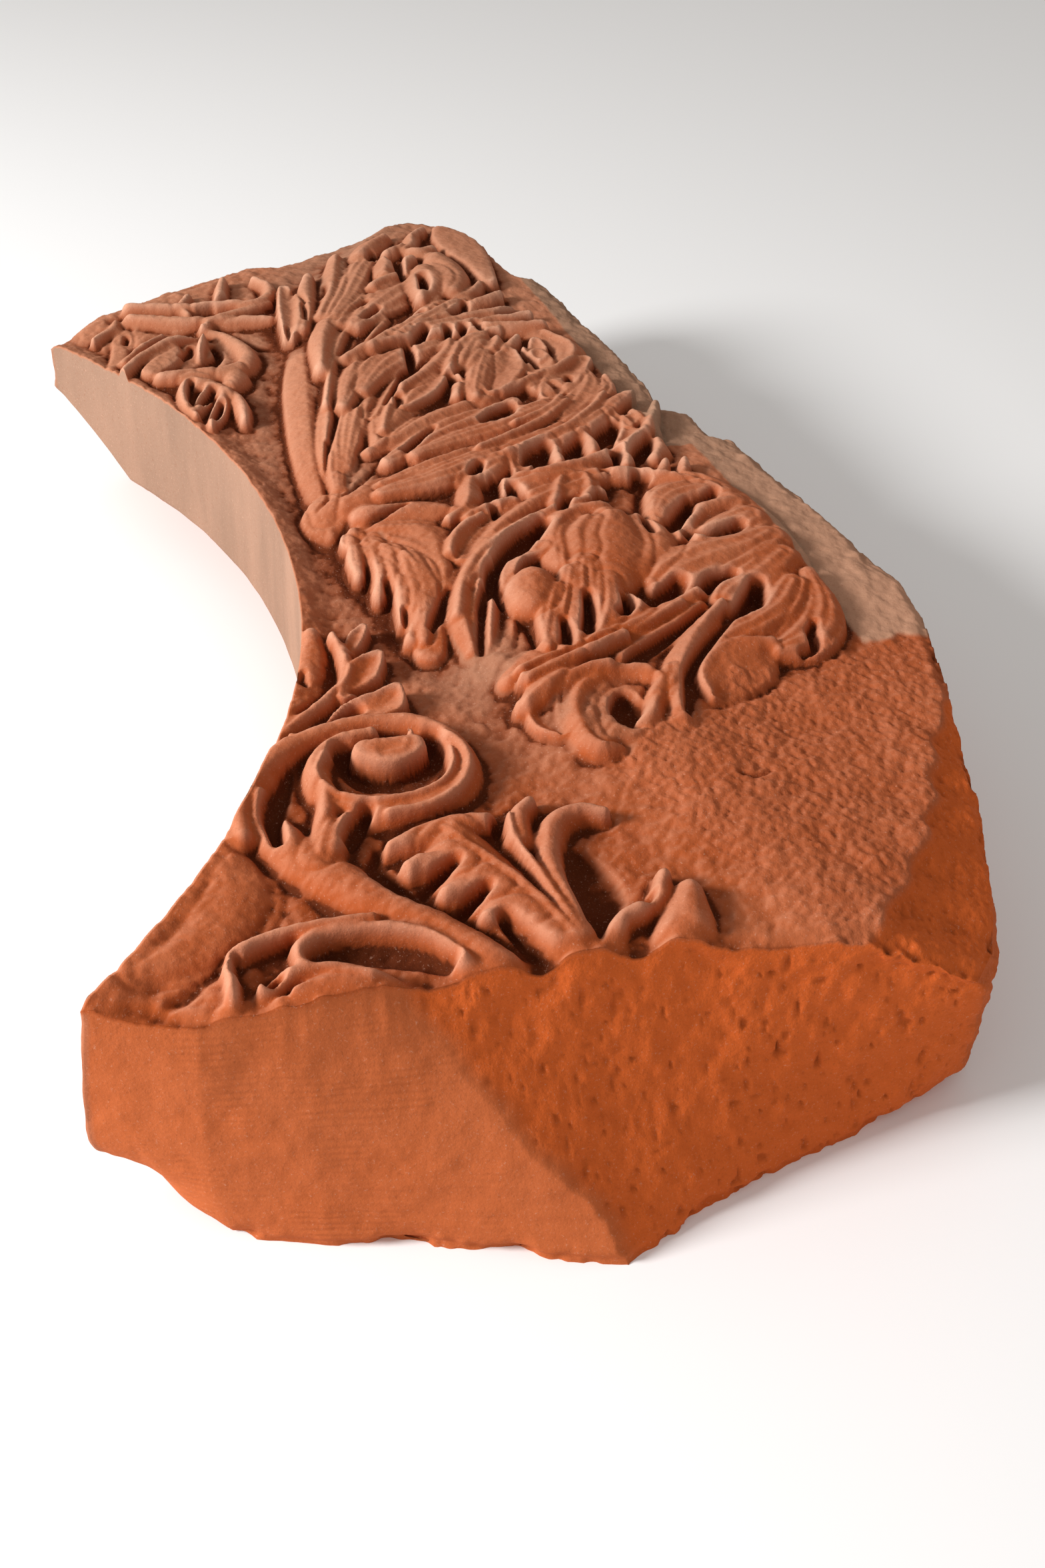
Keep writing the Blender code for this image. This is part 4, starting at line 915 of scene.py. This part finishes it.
def build_block(face_sheet, sheet_tags):
    """The whole block, cut by columns into pieces that share their points and normals."""
    run = np.linspace(0.0, 1.0, CELLS_ALONG + 1)
    out = np.linspace(0.0, 1.0, CELLS_ACROSS + 1)
    plan = patch(arc(1.0 + 0.0 * run, run), along(OUTER_EDGE, run),
                 along(FAR_EDGE, out), along(NEAR_EDGE, out))
    heights = sampled(face_sheet, plan[..., 0], plan[..., 1])
    face = np.dstack([plan, heights]) * RADIUS
    keys = key_rings(plan, heights)
    rows, side_tags = roughened(walls(keys))
    below = rows[:1, :, 2] - rows[..., 2]
    rows[..., :2] += (keys[0][:, :2] - rows[0, :, :2])[None] * (1.0 - smooth(below / LIP_FADE))[..., None]
    grid_count, around = face.shape[0] * face.shape[1], rows.shape[1]
    points = np.vstack([face.reshape(-1, 3), rows.reshape(-1, 3)]) + ARCH_CENTRE
    points[:, 2] = np.clip(points[:, 2], 0.0, None)
    grid = np.arange(grid_count).reshape(face.shape[:2])
    levels = np.vstack([rim(grid)] + [grid_count + k * around + np.arange(around) for k in range(len(rows))])
    tags = {}
    for tag in TAGS:
        on_face, on_side = np.zeros(grid_count), np.zeros(len(rows) * around)
        if tag in sheet_tags:
            on_face = sampled(sheet_tags[tag], plan[..., 0], plan[..., 1]).ravel()
        if tag in side_tags:
            on_side = side_tags[tag].ravel()
        tags[tag] = np.concatenate([on_face, on_side])

    def face_quads(first, last):
        a, b = grid[first:last, :-1], grid[first + 1:last + 1, :-1]
        c, d = grid[first + 1:last + 1, 1:], grid[first:last, 1:]
        return np.stack([a, b, c, d], axis=-1).reshape(-1, 4)

    def side_quads(places):
        after = (places + 1) % around
        upper, lower = levels[:-1], levels[1:]
        return np.stack([upper[:, places], lower[:, places], lower[:, after], upper[:, after]],
                        axis=-1).reshape(-1, 4)

    everything = np.vstack([face_quads(0, CELLS_ALONG), side_quads(np.arange(around))])
    crossed = np.cross(points[everything[:, 2]] - points[everything[:, 0]],
                       points[everything[:, 3]] - points[everything[:, 1]])
    normals = np.zeros_like(points)
    for corner in range(4):
        for axis in range(3):
            normals[:, axis] += np.bincount(everything[:, corner], crossed[:, axis], len(points))
    normals /= np.linalg.norm(normals, axis=1, keepdims=True) + 1e-12

    def cut_plates(column):
        """Faces of the hidden cut at a column: a strip below the carving, and one plate under it."""
        outer_place = outer_start + CELLS_ALONG - column
        inner_wall, outer_wall, shelf = levels[:, column], levels[:, outer_place], shelves[column]
        top, wide, last = grid[column], END_CELLS, CELLS_ACROSS
        strip = [[top[j], top[j + 1], shelf[j + 1], shelf[j]] for j in range(wide, last - wide)]
        strip.append([*top[:wide + 1], *shelf[wide::-1], *inner_wall[SHELF_ROW - 1:0:-1]])
        strip.append([*top[last - wide:], *outer_wall[1:SHELF_ROW], *shelf[:last - wide - 1:-1]])
        under = list(shelf) + list(outer_wall[SHELF_ROW + 1:]) + list(inner_wall[:SHELF_ROW:-1])
        return strip + [under]

    end_start, outer_start = CELLS_ALONG, CELLS_ALONG + CELLS_ACROSS
    far_start = outer_start + CELLS_ALONG
    pieces = []
    cuts = np.rint(np.array(CUT_SHARES) * CELLS_ALONG).astype(int)
    shelves, extra = {}, []
    for column in cuts[1:-1]:
        inner_end = levels[SHELF_ROW, column]
        outer_end = levels[SHELF_ROW, outer_start + CELLS_ALONG - column]
        row = points[grid[column, 1:-1]].copy()
        share = out[1:-1, None]
        row += (1.0 - share) * (points[inner_end] - points[grid[column, 0]])
        row += share * (points[outer_end] - points[grid[column, -1]])
        row[:, 2] = 0.5 * (points[inner_end, 2] + points[outer_end, 2])
        start = len(points) + sum(len(part) for part in extra)
        shelves[column] = np.concatenate([[inner_end], start + np.arange(len(row)), [outer_end]])
        extra.append(row)
    points = np.vstack([points] + extra)
    normals = np.vstack([normals] + [part * 0.0 + (0.0, 0.0, 1.0) for part in extra])
    plain = np.zeros(sum(len(part) for part in extra))
    tags = {tag: np.concatenate([values, plain]) for tag, values in tags.items()}
    for name, first, last in zip(PIECES, cuts, cuts[1:]):
        inner = np.arange(first, last)
        outer = np.arange(outer_start + CELLS_ALONG - last, outer_start + CELLS_ALONG - first)
        near = np.arange(end_start, outer_start) if last == CELLS_ALONG else np.arange(0)
        far = np.arange(far_start, around) if first == 0 else np.arange(0)
        quads = np.vstack([face_quads(first, last), side_quads(np.concatenate([inner, near, outer, far]))])
        foot = levels[-1]
        ring = list(foot[first:last + 1])
        if last == CELLS_ALONG:
            ring = list(foot[first:outer_start])
        ring += list(foot[outer[0]:outer[-1] + 1])
        ring += list(foot[far_start:around]) if first == 0 else [foot[outer[-1] + 1]]
        plates = [ring[::-1]]
        for column, flip in ((first, True), (last, False)):
            if column in (0, CELLS_ALONG):
                continue
            for plate in cut_plates(column):
                plates.append(plate[::-1] if flip else plate)
        pieces.append(add_piece(name, points, normals, tags, quads, plates))
    return pieces


def sandstone():
    """Red sandstone: mottled and grained, paler where it is dressed. Its hollows are darkened with painted
    shade, faces turned from the lamp get a saturated painted shade, faces toward the lamp a painted
    highlight, and raised parts are paler, partly from wear and partly as a painted highlight.
    """
    material = bpy.data.materials.new("red sandstone")
    material.use_nodes = True
    tree = material.node_tree
    nodes, links = tree.nodes, tree.links
    surface = nodes["Principled BSDF"]
    place = nodes.new("ShaderNodeTexCoord").outputs["Object"]

    def stretched(scale):
        node = nodes.new("ShaderNodeMapping")
        node.inputs["Scale"].default_value = scale
        links.new(place, node.inputs["Vector"])
        return node.outputs["Vector"]

    def grain(scale, detail=4.0, roughness=0.55, vector=None):
        node = nodes.new("ShaderNodeTexNoise")
        node.inputs["Scale"].default_value = scale
        node.inputs["Detail"].default_value = detail
        node.inputs["Roughness"].default_value = roughness
        links.new(vector or place, node.inputs["Vector"])
        return node.outputs["Fac"]

    def between(value, low, high):
        node = nodes.new("ShaderNodeMapRange")
        node.inputs["From Min"].default_value = low
        node.inputs["From Max"].default_value = high
        links.new(value, node.inputs["Value"])
        return node.outputs["Result"]

    def tag(name):
        node = nodes.new("ShaderNodeAttribute")
        node.attribute_name = name
        return node.outputs["Fac"]

    def math_of(kind, first, second):
        node = nodes.new("ShaderNodeMath")
        node.operation = kind
        for socket, value in zip(node.inputs, (first, second)):
            if isinstance(value, float):
                socket.default_value = value
            else:
                links.new(value, socket)
        return node.outputs["Value"]

    def mixed(share, first, second):
        node = nodes.new("ShaderNodeMix")
        node.data_type = "RGBA"
        links.new(share, node.inputs["Factor"])
        for socket, value in zip((node.inputs[6], node.inputs[7]), (first, second)):
            if isinstance(value, tuple):
                socket.default_value = (*value, 1.0)
            else:
                links.new(value, socket)
        return node.outputs[2]

    def through(share, amount):
        return math_of("MULTIPLY", share, amount)

    split = nodes.new("ShaderNodeSeparateXYZ")
    links.new(place, split.inputs["Vector"])
    forward = split.outputs["X"]
    patches = grain(5.0)
    far_share = math_of("ADD", between(forward, 0.30, -0.45), math_of("SUBTRACT", patches, 0.5))
    # Painted light: how far each surface faces the key lamp. Sides facing it are painted paler as a painted
    # highlight, sides turned away more saturated as painted shade.
    turned_to = nodes.new("ShaderNodeVectorMath")
    turned_to.operation = "DOT_PRODUCT"
    turned_to.inputs[1].default_value = (-0.60, -0.65, 0.45)
    links.new(nodes.new("ShaderNodeNewGeometry").outputs["Normal"], turned_to.inputs[0])
    facing_lamp = turned_to.outputs["Value"]
    # Strength of the pale mix on raised parts, stronger towards the far end: partly wear, partly a painted
    # highlight.
    worn = math_of("ADD", through(between(forward, 0.35, 0.0), 0.30), 0.38)
    streaks = grain(9.0, 5.0, 0.6, stretched((1.0, 1.0, 0.25)))
    washed = mixed(between(streaks, 0.35, 0.65), (0.235, 0.150, 0.105), (0.330, 0.200, 0.138))
    weathering = mixed(far_share, (0.46, 0.265, 0.170), (0.25, 0.155, 0.100))
    fine = grain(420.0, 3.0, 0.7)
    base = mixed(between(patches, 0.35, 0.65), (0.37, 0.083, 0.026), (0.45, 0.117, 0.042))
    base = mixed(between(grain(23.0, 5.0), 0.42, 0.68), base, (0.36, 0.074, 0.018))
    for share, amount, colour in (
            (far_share, 0.55, (0.38, 0.200, 0.122)),
            # painted highlight on the sides that face the lamp
            (between(facing_lamp, 0.40, 0.95), 0.50, (0.54, 0.255, 0.155)),
            # painted shade, saturated, on the sides turned from the lamp
            (between(facing_lamp, 0.25, -0.35), 0.35, (0.46, 0.085, 0.018)),
            # raised parts paler: partly wear, partly a painted highlight
            (tag("raised"), worn, (0.64, 0.350, 0.235)),
            (tag("broken"), 0.50, (0.39, 0.100, 0.038)),
            (tag("tooled"), 0.70, (0.50, 0.125, 0.040)),
            (tag("dusty"), 0.75, (0.31, 0.150, 0.090)),
            # painted shade: saturated orange on the faces turned from the lamp
            (tag("turned"), 0.85, (0.60, 0.112, 0.020)),
            # painted shade in the hollows and dents, darkest in the deepest
            (tag("cavity"), 0.95, (0.17, 0.030, 0.006)),
            (between(tag("cavity"), 0.70, 1.0), 0.75, (0.055, 0.012, 0.004)),
            (tag("soffit"), 0.92, washed),
            (tag("dressed"), 0.80, weathering),
            (between(fine, 0.60, 0.80), 0.5, (0.70, 0.40, 0.28)),
            (between(fine, 0.42, 0.22), 0.6, (0.22, 0.055, 0.018))):
        base = mixed(through(share, amount), base, colour)
    links.new(base, surface.inputs["Base Color"])
    surface.inputs["Roughness"].default_value = 0.92
    surface.inputs["Specular IOR Level"].default_value = 0.06
    bump = nodes.new("ShaderNodeBump")
    bump.inputs["Strength"].default_value = 0.5
    bump.inputs["Distance"].default_value = 0.0012
    pits = through(grain(140.0, 4.0, 0.6), math_of("ADD", tag("broken"), 1.0))
    height = math_of("ADD", through(fine, 0.5), pits)
    lines = nodes.new("ShaderNodeTexWave")
    lines.wave_type = "BANDS"
    lines.bands_direction = "Z"
    lines.inputs["Scale"].default_value = 48.0
    lines.inputs["Distortion"].default_value = 5.0
    lines.inputs["Detail"].default_value = 2.0
    links.new(stretched((1.0, 0.12, 1.0)), lines.inputs["Vector"])
    combed = through(lines.outputs["Fac"], through(tag("tooled"), between(grain(11.0), 0.47, 0.60)))
    height = math_of("ADD", height, through(combed, 0.75))
    links.new(height, bump.inputs["Height"])
    links.new(bump.outputs["Normal"], surface.inputs["Normal"])
    return material


def stage_set():
    """Pale floor, soft light from the left and above, and the photograph's camera."""
    floor_data = bpy.data.meshes.new("floor")
    corners = [(-FLOOR_REACH, -FLOOR_REACH, 0), (FLOOR_REACH, -FLOOR_REACH, 0),
               (FLOOR_REACH, FLOOR_REACH, 0), (-FLOOR_REACH, FLOOR_REACH, 0)]
    floor_data.from_pydata(corners, [], [(0, 1, 2, 3)])
    floor = bpy.data.objects.new("floor", floor_data)
    bpy.context.scene.collection.objects.link(floor)
    pale = bpy.data.materials.new("pale floor")
    pale.use_nodes = True
    surface = pale.node_tree.nodes["Principled BSDF"]
    surface.inputs["Base Color"].default_value = (0.93, 0.93, 0.93, 1.0)
    surface.inputs["Roughness"].default_value = 0.9
    floor_data.materials.append(pale)

    world = bpy.data.worlds.new("studio")
    world.use_nodes = True
    sky = world.node_tree.nodes["Background"]
    sky.inputs["Color"].default_value = (1.0, 0.965, 0.93, 1.0)
    sky.inputs["Strength"].default_value = 0.50
    bpy.context.scene.world = world

    data = bpy.data.lights.new("key", "AREA")
    data.shape = "DISK"
    data.size = LAMP_SIZE
    data.energy = LAMP_POWER
    lamp = bpy.data.objects.new("key", data)
    lamp.location = LAMP_PLACE
    direction = np.array(LAMP_AIM) - np.array(LAMP_PLACE)
    lamp.rotation_euler = Vector(direction).to_track_quat("-Z", "Y").to_euler()
    bpy.context.scene.collection.objects.link(lamp)

    data = bpy.data.cameras.new("camera")
    data.sensor_width = SENSOR
    data.lens = SENSOR * FOCAL_SHARE
    data.clip_start = 0.01
    camera = bpy.data.objects.new("camera", data)
    camera.location = CAMERA_PLACE
    camera.rotation_euler = Euler(CAMERA_TURN)
    bpy.context.scene.collection.objects.link(camera)
    bpy.context.scene.camera = camera
    bpy.context.scene.view_settings.view_transform = "Standard"


stage_set()
x, y = np.meshgrid(COLUMNS, ROWS)
bare = ground(x, y)
face = bare.copy()
for text in CARVING.values():
    for stroke in read_strokes(text):
        carve(face, stroke)
face, marks = weathered(blurred(face, SOFTENED), bare, x, y)
relief = blurred(face, CLOSE_HOLLOW) - face
wide_relief = blurred(face, WIDE_HOLLOW) - face
# Painted shade: the carving's hollows, close and wide, are marked to be darkened.
hollow_shade = np.clip(smooth(relief / 0.008) + smooth((wide_relief - 0.001) / 0.010), 0.0, 1.0)
sheet_tags = {name: marks[name] for name in ("dressed", "broken", "dusty")}
# Raised parts are marked to be paler, partly as wear and partly as a painted highlight. The broken corner's
# chamfer is marked for a saturated painted shade.
sheet_tags.update(cavity=hollow_shade, raised=smooth(-relief / 0.010), turned=smooth(beyond_chamfer(x, y) / 0.01))
stone = sandstone()
for piece in build_block(face, sheet_tags):
    piece.data.materials.append(stone)
    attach(piece, "root")
    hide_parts("keystone")
